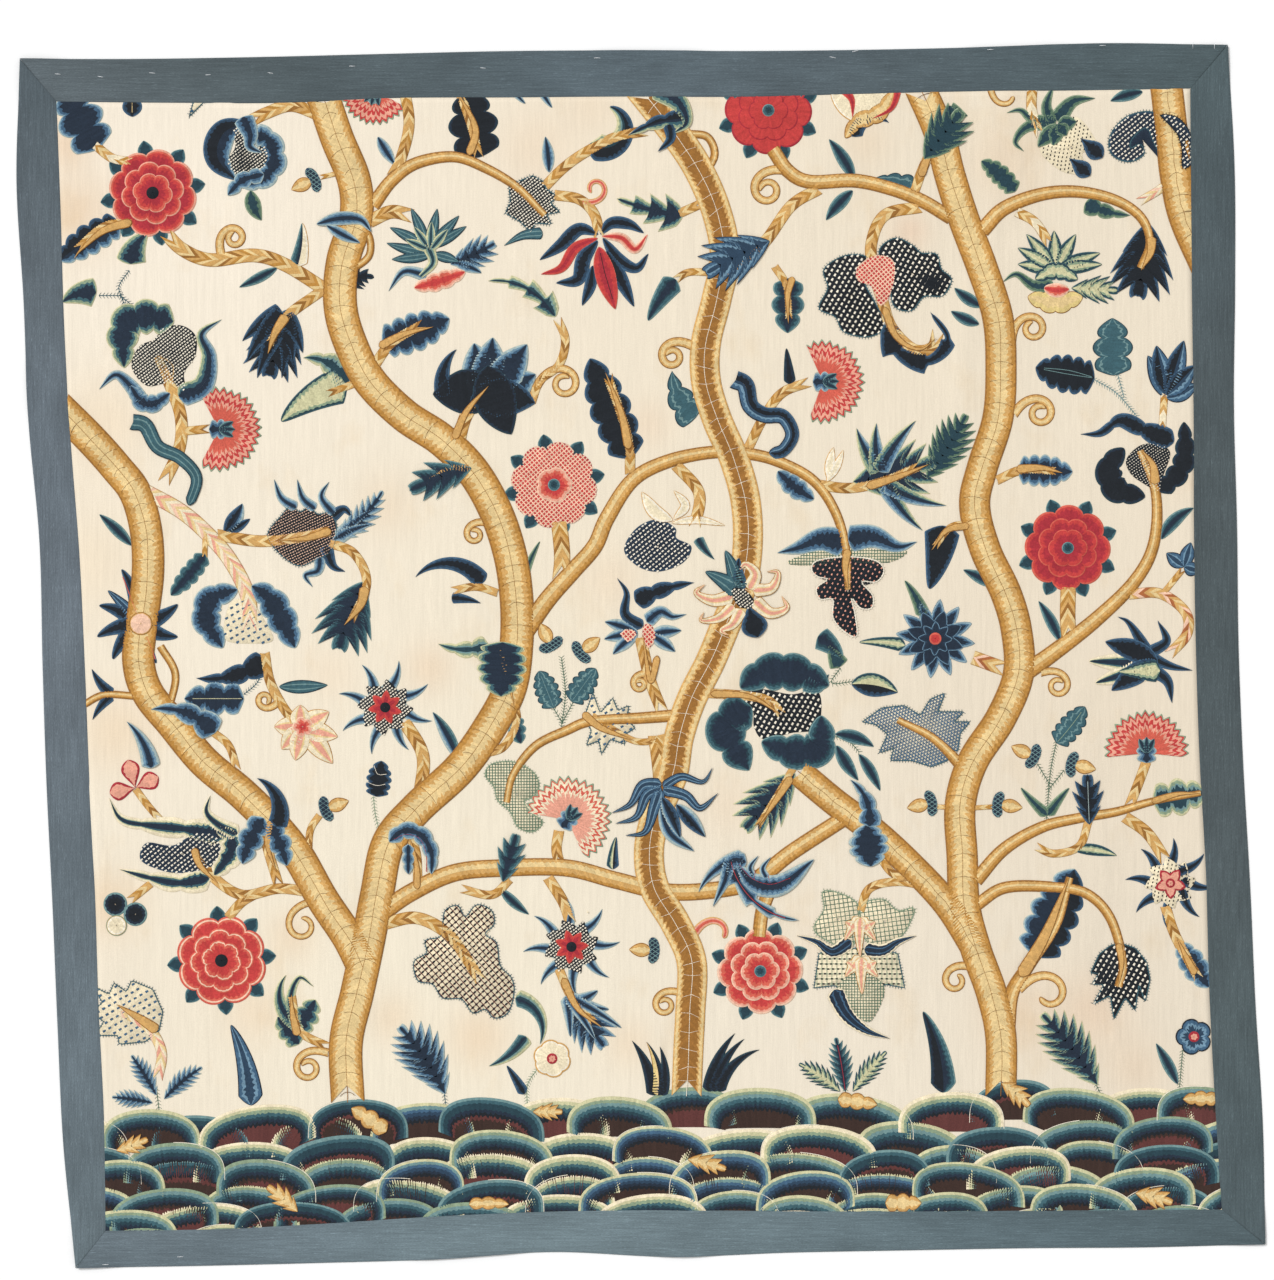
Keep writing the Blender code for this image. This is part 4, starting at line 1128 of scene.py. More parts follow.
SWEEPS = (
    # form, width, bands, level, points in turn from the base: leaves and petals that bend more than once
    # over the left trunk and round the panel's left side
    ("curl", 2.6, "sea", 2.0, ((-81.6, 37.4), (-79.4, 36.8), (-77.4, 33.4), (-73.8, 31.6), (-71.2, 28.4), (-72.4, 24.0))),
    ("horn", 4.0, "green", 2.6, ((2.2, 91), (5.8, 88.6), (7.2, 85.4), (5.0, 83.4))),
    ("wave", 3.2, "green/night", 2.6, ((7.0, 86.0), (2.4, 85.2), (-2.2, 83.2))),
    ("horn", 2.0, "night", 2.8, ((4.4, 85.0), (4.6, 82.6), (2.6, 80.6))),
    ("leaf", 2.2, "blue", 2.5, ((-52.0, 69.0), (-48.4, 69.9), (-45.0, 69.7), (-43.2, 67.8))),
    ("leaf", 1.8, "blue", 2.7, ((-50.4, 68.8), (-47.6, 67.2), (-45.0, 66.0))),
    ("curl", 3.0, "night/steel", 2.0, ((14.8, 44.2), (16.6, 43.2), (17.4, 40.0), (19.6, 38.5), (22.6, 38.2), (24.1, 35.4),
     (22.6, 32.8), (20.4, 32.4))),
    ("oak5", 3.0, "blue", 2.4, ((-40.4, -29.8), (-38.0, -28.0), (-35.2, -28.8), (-33.6, -31.6), (-33.6, -35.0))),
    ("oak", 2.2, "blue", 2.4, ((-37.3, -30.2), (-37.3, -35.0))),
    ("horn", 2.2, "green", 0.4, ((-54.8, -60.6), (-56.2, -55.4), (-54.8, -51.6), (-52.4, -53.0))),
    ("horn", 2.8, "blue", 2.5, ((16.8, -33.0), (14.4, -33.0), (13.2, -36.4), (11.4, -40.2))),
    ("leaf", 3.6, "crown", 2.5, ((15.2, -33.4), (18.0, -36.4), (22.4, -36.6), (27.6, -32.6))),
    ("horn", 1.3, "crown", 2.5, ((17.8, -35.4), (17.4, -33.8), (18.7, -32.0))),
    ("horn", 1.3, "crown", 2.5, ((20.0, -35.6), (19.4, -34.0), (20.7, -32.2))),
    # lattice flower at the top left
    ("leaf", 4.6, "blue/night", 0.5, ((-63.4, 85.4), (-67.0, 83.4), (-67.8, 79.6), (-64.8, 76.0))),
    ("oak5", 4.4, "crown", 0.4, ((-62.6, 83.4), (-59.8, 82.6), (-58.8, 79.0), (-60.8, 76.2), (-64.4, 75.2))),
    ("horn", 3.4, "blue", 1.4, ((-63.8, 86.2), (-62.6, 83.4), (-62.6, 81.4), (-60.6, 80.4))),
    ("oak", 3.0, "blue", 1.2, ((-60.4, 77.0), (-63.8, 76.0), (-66.2, 73.6))),
    # lattice flower under it
    ("oak5", 6.0, "green", 0.6, ((-74.8, 53.4), (-79.4, 54.2), (-82.8, 52.4), (-82.8, 46.0))),
    ("horn", 3.8, "green/blue", 0.6, ((-74.2, 41.4), (-70.2, 43.2), (-69.2, 47.8), (-70.4, 51.4), (-67.2, 53.8))),
    ("cloud", 3.2, "blue", 0.7, ((-81.8, 43.2), (-80.0, 40.6), (-77.8, 40.4), (-75.4, 42.0))),
    ("horn", 2.6, "blue", 0.6, ((-80.0, 40.8), (-82.0, 43.4), (-84.2, 44.9), (-86.8, 42.6))),
    # hanging fan of narrow petals
    ("leaf", 2.3, "night", 0.5, ((-6.9, 67.4), (-10.0, 68.2), (-13.0, 65.6), (-16.3, 63.3))),
    ("leaf", 1.8, "scarlet", 0.6, ((-7.0, 66.8), (-10.6, 65.2), (-12.8, 62.0), (-16.1, 61.0))),
    ("leaf", 2.5, "night", 0.6, ((-7.0, 66.4), (-9.2, 63.6), (-10.2, 60.2), (-13.7, 59.6))),
    ("leaf", 1.9, "night", 0.7, ((-7.8, 62.4), (-8.2, 59.2), (-9.5, 56.0))),
    ("leaf", 2.4, "night", 0.7, ((-5.6, 64.8), (-3.4, 60.4), (-1.2, 55.8))),
    ("leaf", 3.4, "scarlet", 1.0, ((-6.8, 65.4), (-5.8, 61.0), (-4.2, 55.4))),
    ("leaf", 2.0, "night", 0.6, ((-6.2, 66.8), (-3.6, 63.4), (-0.8, 62.0), (1.1, 64.3))),
    ("leaf", 1.7, "pale rose", 0.6, ((-6.4, 67.1), (-3.2, 66.8), (-1.0, 65.0), (1.0, 67.4))),
    ("leaf", 2.0, "night", 0.5, ((-6.6, 67.4), (-4.8, 69.2), (-2.0, 69.0), (0.4, 67.6))),
    ("horn", 2.0, "sea", 0.5, ((-15.8, 67.6), (-19.0, 67.2), (-22.0, 65.6))),
    # fan flower with a coral skirt
    ("cloud", 3.2, "skirt", 0.6, ((-28.2, 61.4), (-32.0, 60.0), (-36.4, 58.8))),
    ("horn", 2.0, "crown", 0.5, ((-34.4, 60.8), (-38.0, 61.4), (-40.5, 58.3))),
    ("taper", 2.0, "pale", 1.1, ((-34.0, 65.2), (-33.4, 62.8), (-35.4, 60.6))),
    # fan flower with a lemon skirt
    ("cloud", 3.8, "lemon", 0.6, ((70.6, 57.4), (66.3, 56.5), (61.8, 57.4))),
    ("round", 2.4, "skirt", 1.2, ((64.4, 58.8), (66.4, 58.4), (68.4, 58.6))),
    ("cloud", 3.0, "lime", 1.1, ((63.0, 60.2), (66.3, 61.6), (69.8, 60.2))),
    ("horn", 2.2, "fern", 0.6, ((66.0, 59.2), (62.8, 59.2), (60.0, 61.0), (57.8, 59.8))),
    # strawberry with a green cap at the top right
    ("drop", 3.0, "night", 1.5, ((70.2, 82.8), (73.8, 79.7))),
    ("drop", 2.8, "night", 1.5, ((68.4, 79.6), (71.8, 76.8))),
    ("horn", 2.1, "fern", 0.5, ((66.4, 85.6), (62.6, 85.8), (60.6, 87.2), (58.4, 86.8))),
    ("horn", 2.4, "fern", 0.5, ((66.2, 85.4), (61.8, 84.6), (59.8, 82.2), (61.2, 80.6))),
    ("horn", 2.2, "fern", 0.5, ((65.6, 85.4), (64.8, 88.0), (66.0, 91.4))),
    ("horn", 2.9, "fern", 0.5, ((66.4, 85.6), (69.0, 88.6), (72.6, 89.2))),
    # cut flower at the top
    ("round", 5.4, "cream", 0.3, ((30.4, 90.6), (35.4, 87.8), (40.8, 90.6))),
    ("cloud", 3.0, "nut", 0.6, ((32.6, 82.8), (34.6, 85.4), (38.0, 86.8), (40.4, 90.4))),
    ("horn", 1.5, "scarlet", 0.9, ((31.8, 91), (33.6, 89.0), (33.8, 86.0))),
    ("horn", 1.2, "scarlet", 0.9, ((41.2, 91), (40.0, 87.6), (36.8, 85.8))),
    # spiky scroll under the spotted flower
    ("comb", 5.4, "night", 0.5, ((39.2, 53.6), (41.2, 48.6), (46.0, 47.2), (49.0, 50.6), (46.2, 55.0))),
    # lattice flower with blue wings
    ("cloud", 5.0, "blue", 0.6, ((-64.6, 10.6), (-68.8, 9.0), (-69.6, 5.6), (-67.0, 1.2))),
    ("cloud", 5.2, "blue", 0.6, ((-62.4, 11.2), (-59.6, 9.2), (-57.4, 5.6), (-55.4, 1.2))),
    # speckled flower with hooks
    ("horn", 1.9, "blue", 0.5, ((-55.2, 23.6), (-57.6, 25.2), (-58.8, 28.2))),
    ("horn", 1.9, "blue", 0.5, ((-52.2, 23.4), (-54.2, 25.2), (-55.1, 28.2))),
    ("horn", 1.9, "blue", 0.5, ((-49.2, 22.6), (-51.2, 25.4), (-50.0, 27.8))),
    ("horn", 1.9, "blue", 0.5, ((-51.4, 15.8), (-51.8, 13.6), (-53.8, 12.8), (-52.6, 10.9))),
    ("horn", 2.3, "night", 0.5, ((-50.6, 17.6), (-49.4, 14.4), (-47.4, 13.4))),
    ("horn", 2.0, "night", 0.5, ((-49.6, 22.2), (-47.6, 23.4), (-46.2, 22.0))),
    # hanging flower with blue wings
    ("horn", 4.6, "blue", 0.6, ((32.6, 17.8), (29.0, 18.6), (25.0, 17.2), (21.7, 16.4))),
    ("horn", 4.4, "blue", 0.6, ((33.0, 18.6), (37.0, 19.0), (41.0, 17.4), (44.1, 18.2))),
    # flower on the middle trunk
    ("horn", 2.4, "lily", 2.5, ((17.2, 10.6), (18.2, 13.0), (16.6, 14.6), (15.4, 13.2))),
    ("horn", 2.2, "lily", 2.5, ((17.8, 10.4), (20.8, 10.8), (21.8, 13.2), (20.0, 13.4))),
    ("horn", 2.4, "lily", 2.5, ((18.0, 8.8), (20.6, 6.8), (23.2, 7.6), (22.4, 9.6))),
    ("horn", 2.4, "lily", 2.5, ((14.6, 9.4), (11.4, 8.8), (8.8, 10.0), (10.2, 11.4))),
    ("horn", 2.0, "lily", 2.5, ((14.8, 8.0), (12.4, 6.0), (9.6, 5.6), (10.0, 7.0))),
    ("horn", 2.2, "lily", 2.5, ((16.0, 7.4), (14.6, 5.0), (12.8, 4.0), (14.0, 3.2))),
    # strawberry with cream leaves
    ("leaf", 2.4, "cream", 0.5, ((5.0, 21.6), (2.2, 23.0), (0.0, 26.2))),
    ("leaf", 1.6, "cream", 0.5, ((5.2, 21.8), (7.0, 24.0), (5.2, 26.4))),
    ("leaf", 1.4, "cream", 0.5, ((4.8, 21.2), (9.0, 21.7), (13.4, 20.8))),
    # bud under it
    ("horn", 2.0, "night", 0.6, ((0.2, 4.6), (-2.6, 6.6), (-2.4, 10.0), (-3.9, 12.4))),
    ("horn", 2.4, "blue", 0.6, ((0.8, 5.4), (3.0, 7.0), (5.0, 6.2), (7.2, 6.6))),
    # lattice flower at the right edge
    ("cloud", 4.6, "ink", 0.6, ((77.2, 33.2), (74.8, 30.0), (76.0, 26.6), (80.6, 25.4))),
    ("oak5", 3.8, "ink", 0.6, ((82.8, 26.2), (86.2, 29.6), (87.0, 33.0), (86.8, 37.4))),
    ("wave", 3.8, "night", 0.6, ((85.2, 34.2), (80.2, 36.2), (76.6, 37.6), (73.4, 35.6), (70.2, 35.4))),
    # dark lily at the right edge
    ("horn", 2.2, "night", 0.6, ((81.4, -0.4), (79.4, 3.2), (77.8, 5.4), (76.2, 6.2))),
    ("horn", 2.0, "night", 0.6, ((81.6, 0.6), (84.0, 2.4), (82.6, 5.6))),
    ("horn", 2.0, "night", 0.6, ((80.6, 0.2), (84.4, -1.6), (88.2, -2.4))),
    ("horn", 2.2, "night", 0.6, ((82.0, -2.4), (84.2, -4.2), (84.9, -7.6))),
    # moth-like lattice flower on the left
    ("wave", 4.6, "moth", 0.6, ((-66.2, -29.0), (-72.8, -27.8), (-78.6, -27.2), (-83.2, -26.2), (-85.2, -22.8))),
    ("wave", 4.2, "moth", 0.6, ((-69.0, -35.6), (-74.0, -36.4), (-78.6, -35.6), (-83.6, -34.2))),
    ("cloud", 4.4, "moth", 0.7, ((-68.4, -35.2), (-65.8, -31.6), (-65.8, -28.8), (-68.0, -28.2))),
    ("horn", 2.9, "moth", 0.8, ((-64.6, -28.6), (-67.8, -27.0), (-69.6, -25.0), (-69.0, -22.4))),
    # tulip with curled blue petals
    ("horn", 2.0, "curls", 2.5, ((3.2, -20.6), (0.2, -20.8), (-1.8, -23.8), (-4.8, -25.2))),
    ("horn", 2.0, "curls", 2.5, ((3.2, -21.2), (0.8, -22.4), (-0.8, -25.8), (-4.2, -26.9))),
    ("horn", 2.2, "curls", 2.5, ((3.0, -21.4), (2.0, -24.4), (0.6, -28.2), (-2.6, -28.8))),
    ("horn", 1.6, "curls", 2.5, ((3.4, -21.0), (6.4, -19.4), (9.8, -20.2), (11.4, -17.9))),
    ("horn", 2.0, "curls", 2.5, ((3.4, -21.4), (7.0, -22.4), (9.4, -24.4), (12.3, -22.0))),
    ("leaf", 2.2, "crown", 2.4, ((3.0, -24.0), (4.6, -28.4), (8.4, -31.3))),
    ("leaf", 2.4, "night/crown", 2.6, ((3.2, -22.6), (4.6, -25.6), (6.2, -29.2))),
    ("leaf", 2.4, "crown/night", 2.6, ((5.6, -23.8), (7.8, -26.2), (10.2, -29.0))),
    # big teal flower right of the middle trunk
    ("cloud", 6.4, "teal", 0.9, ((15.8, -5.2), (19.6, -2.8), (25.0, -2.8), (30.0, -4.8))),
    ("horn", 2.8, "teal", 0.8, ((26.0, -4.4), (28.2, -5.0), (30.0, -3.0))),
    ("oak", 6.8, "teal", 0.9, ((17.6, -8.2), (13.4, -10.8), (14.8, -14.6), (17.2, -18.4))),
    ("cloud", 6.0, "teal", 0.9, ((19.2, -13.8), (24.2, -15.4), (28.4, -14.6), (28.8, -9.6))),
    # lattice flower over the pale rose
    ("horn", 2.4, "edged", 1.6, ((33.6, -45.6), (30.6, -47.4), (28.0, -45.8), (24.8, -44.8))),
    ("horn", 2.4, "edged", 1.6, ((35.6, -47.0), (38.6, -47.2), (41.0, -45.8), (44.0, -44.8))),
    ("horn", 3.0, "edged", 1.6, ((30.8, -53.4), (32.8, -57.4), (36.0, -60.0), (39.8, -61.3))),
)

SPRAYS = (
    # form, width, bend, bands, level, base, tips: petals or leaflets that share a base
    ("leaf", 1.8, 8, "sea", 0.5, (-34.2, 65.2), ((-36.9, 71.6), (-32.7, 71.5), (-29.2, 70.4), (-28.0, 68.7), (-40.3, 68.5))),
    ("leaf", 1.8, -12, "sea", 0.5, (-33.4, 64.2), ((-40.8, 66.0), (-40.0, 63.4), (-29.2, 63.0))),
    ("leaf", 1.6, 0, "pale", 0.9, (-33.8, 64.8), ((-36.4, 68.6), (-33.6, 69.4), (-31.0, 68.2), (-37.8, 66.6))),
    ("acanthus", 5.2, 12, "blue", 0.4, (-30.6, 62.6), ((-23.4, 66.0),)),
    ("leaf", 1.9, -24, "blue", 0.4, (-30.0, 62.8), ((-25.6, 61.2),)),
    ("leaf", 2.3, 6, "lime", 0.6, (66.2, 61.8), ((66.0, 68.0), (61.6, 67.4), (60.2, 65.2), (60.2, 62.6))),
    ("leaf", 2.3, -6, "lime", 0.6, (66.4, 61.8), ((69.5, 67.4), (73.4, 64.4), (73.7, 62.6))),
    ("acanthus", 4.8, 0, "lime", 0.5, (68.8, 58.8), ((76.2, 58.4),)),
    ("leaf", 2.6, 0, "fern", 1.6, (66.6, 85.0), ((63.4, 81.4), (65.8, 81.6), (68.0, 83.2), (69.6, 85.4))),
    ("horn", 3.6, 26, "night", 0.4, (-57.4, 54.8), ((-63.9, 50.3), (-63.2, 46.9))),
    ("horn", 3.4, -22, "night", 0.4, (-57.2, 54.4), ((-57.6, 44.4), (-55.8, 46.8), (-54.2, 48.4))),
    ("horn", 3.4, 8, "night", 0.45, (-58.2, 52.4), ((-61.5, 44.4),)),
    ("leaf", 6.0, 0, "crown", 0.5, (-25.0, 40.6), ((-26.8, 50.0), (-23.8, 50.9), (-18.3, 49.8), (-16.9, 45.0))),
    ("leaf", 7.4, 0, "ink", 0.8, (-23.0, 42.6), ((-33.4, 41.8),)),
    ("leaf", 6.6, -30, "night", 0.9, (-27.4, 40.8), ((-17.0, 40.4),)),
    ("leaf", 7.0, 24, "ink", 1.0, (-24.6, 46.4), ((-20.8, 35.4),)),
    ("horn", 3.0, -70, "night", 0.7, (-31.4, 41.4), ((-29.6, 49.0),)),
    ("blade", 3.1, 34, "night", 0.5, (-80.3, 5.0), ((-83.2, 13.8), (-78.0, 10.8), (-74.2, 8.2), (-74.2, 3.0))),
    ("blade", 3.1, 34, "night", 0.5, (-80.3, 5.0), ((-77.6, -1.2), (-84.6, -0.6), (-87.1, 3.0), (-86.8, 8.0))),
    ("blade", 2.4, 12, "steel", 0.45, (-80.6, 5.4), ((-85.4, 10.4), (-79.4, 11.6))),
    ("fern", 4.6, 34, "crown", 0.5, (-49.6, 18.4), ((-41.4, 26.4),)),
    ("horn", 2.4, -24, "crown", 0.5, (-48.6, 18.8), ((-42.4, 23.6), (-43.0, 21.0))),
    ("blade", 3.2, 16, "sea", 2.6, (15.6, 10.2), ((13.4, 16.8), (10.2, 13.4))),
    ("blade", 2.6, -30, "night", 2.6, (16.0, 10.4), ((15.6, 15.6),)),
    ("drop", 4.2, 0, "night", 2.7, (17.0, 8.2), ((18.6, 2.9),)),
    ("leaf", 2.2, 14, "crown", 0.5, (-0.6, 3.6), ((-5.9, 5.4), (-6.0, 2.6), (-4.6, 0.2))),
    ("leaf", 2.2, -10, "crown", 0.5, (1.4, 3.4), ((6.4, 4.0), (5.4, 0.6))),
    ("leaf", 3.0, 10, "steel", 0.5, (84.0, 41.2), ((81.0, 48.0), (88.9, 43.4))),
    ("leaf", 3.4, 0, "night/steel", 0.7, (84.0, 41.6), ((82.4, 49.6), (86.8, 50.4), (88.6, 46.4))),
    ("leaf", 2.4, 0, "steel", 0.4, (86.8, 14.2), ((84.0, 16.4), (87.9, 18.1), (89.4, 13.4))),
    ("blade", 4.4, 0, "moth", 0.6, (82.6, -1.4), ((71.6, -0.9), (72.6, -4.4))),
    ("leaf", 3.6, 10, "night", 1.0, (82.6, -0.8), ((74.2, 2.2), (75.2, -5.6))),
    ("blade", 3.6, 0, "lime", 1.3, (83.0, -2.4), ((76.4, -2.6),)),
    ("leaf", 3.4, 0, "lily", 0.5, (-54.2, -11.4), ((-58.8, -11.4), (-57.6, -15.0), (-55.4, -16.8), (-49.4, -17.3))),
    ("leaf", 3.4, 0, "lily", 0.6, (-54.6, -11.6), ((-48.6, -13.0), (-50.0, -9.0), (-54.6, -7.9))),
    ("drop", 3.0, 0, "berry", 0.5, (-81.0, -21.2), ((-82.2, -16.7), (-77.3, -19.4), (-85.1, -22.0))),
    ("blade", 2.0, 10, "lily", 2.0, (35.0, -41.9), ((32.5, -45.6), (37.5, -45.6), (35.0, -48.2))),
    ("leaf", 2.0, 0, "lily", 2.0, (35.0, -44.0), ((32.6, -42.6), (37.4, -42.6))),
    ("blade", 2.2, 10, "lily", 2.0, (35.2, -48.3), ((32.6, -51.4), (37.8, -51.4), (35.3, -54.2))),
    ("leaf", 2.0, 0, "lily", 2.0, (35.2, -50.2), ((32.8, -49.0), (37.6, -49.0))),
    ("horn", 3.2, -20, "green/blue", 0.5, (38.0, 29.4), ((34.4, 36.4), (37.6, 37.2), (43.9, 37.6))),
    ("horn", 3.0, 26, "green/blue", 0.5, (39.0, 27.4), ((45.0, 20.0), (48.8, 24.0))),
    ("blade", 2.2, -10, "crown", 0.5, (-12.0, -54.4), ((-11.4, -61.0), (-7.4, -61.4), (-3.2, -59.6))),
    ("blade", 2.4, 14, "blue", 0.5, (-10.6, -55.6), ((-5.2, -56.6), (-7.0, -53.6))),
    ("horn", 3.4, 14, "fern", 0.35, (49.2, 87.0), ((52.2, 86.4), (49.4, 88.0))),
)

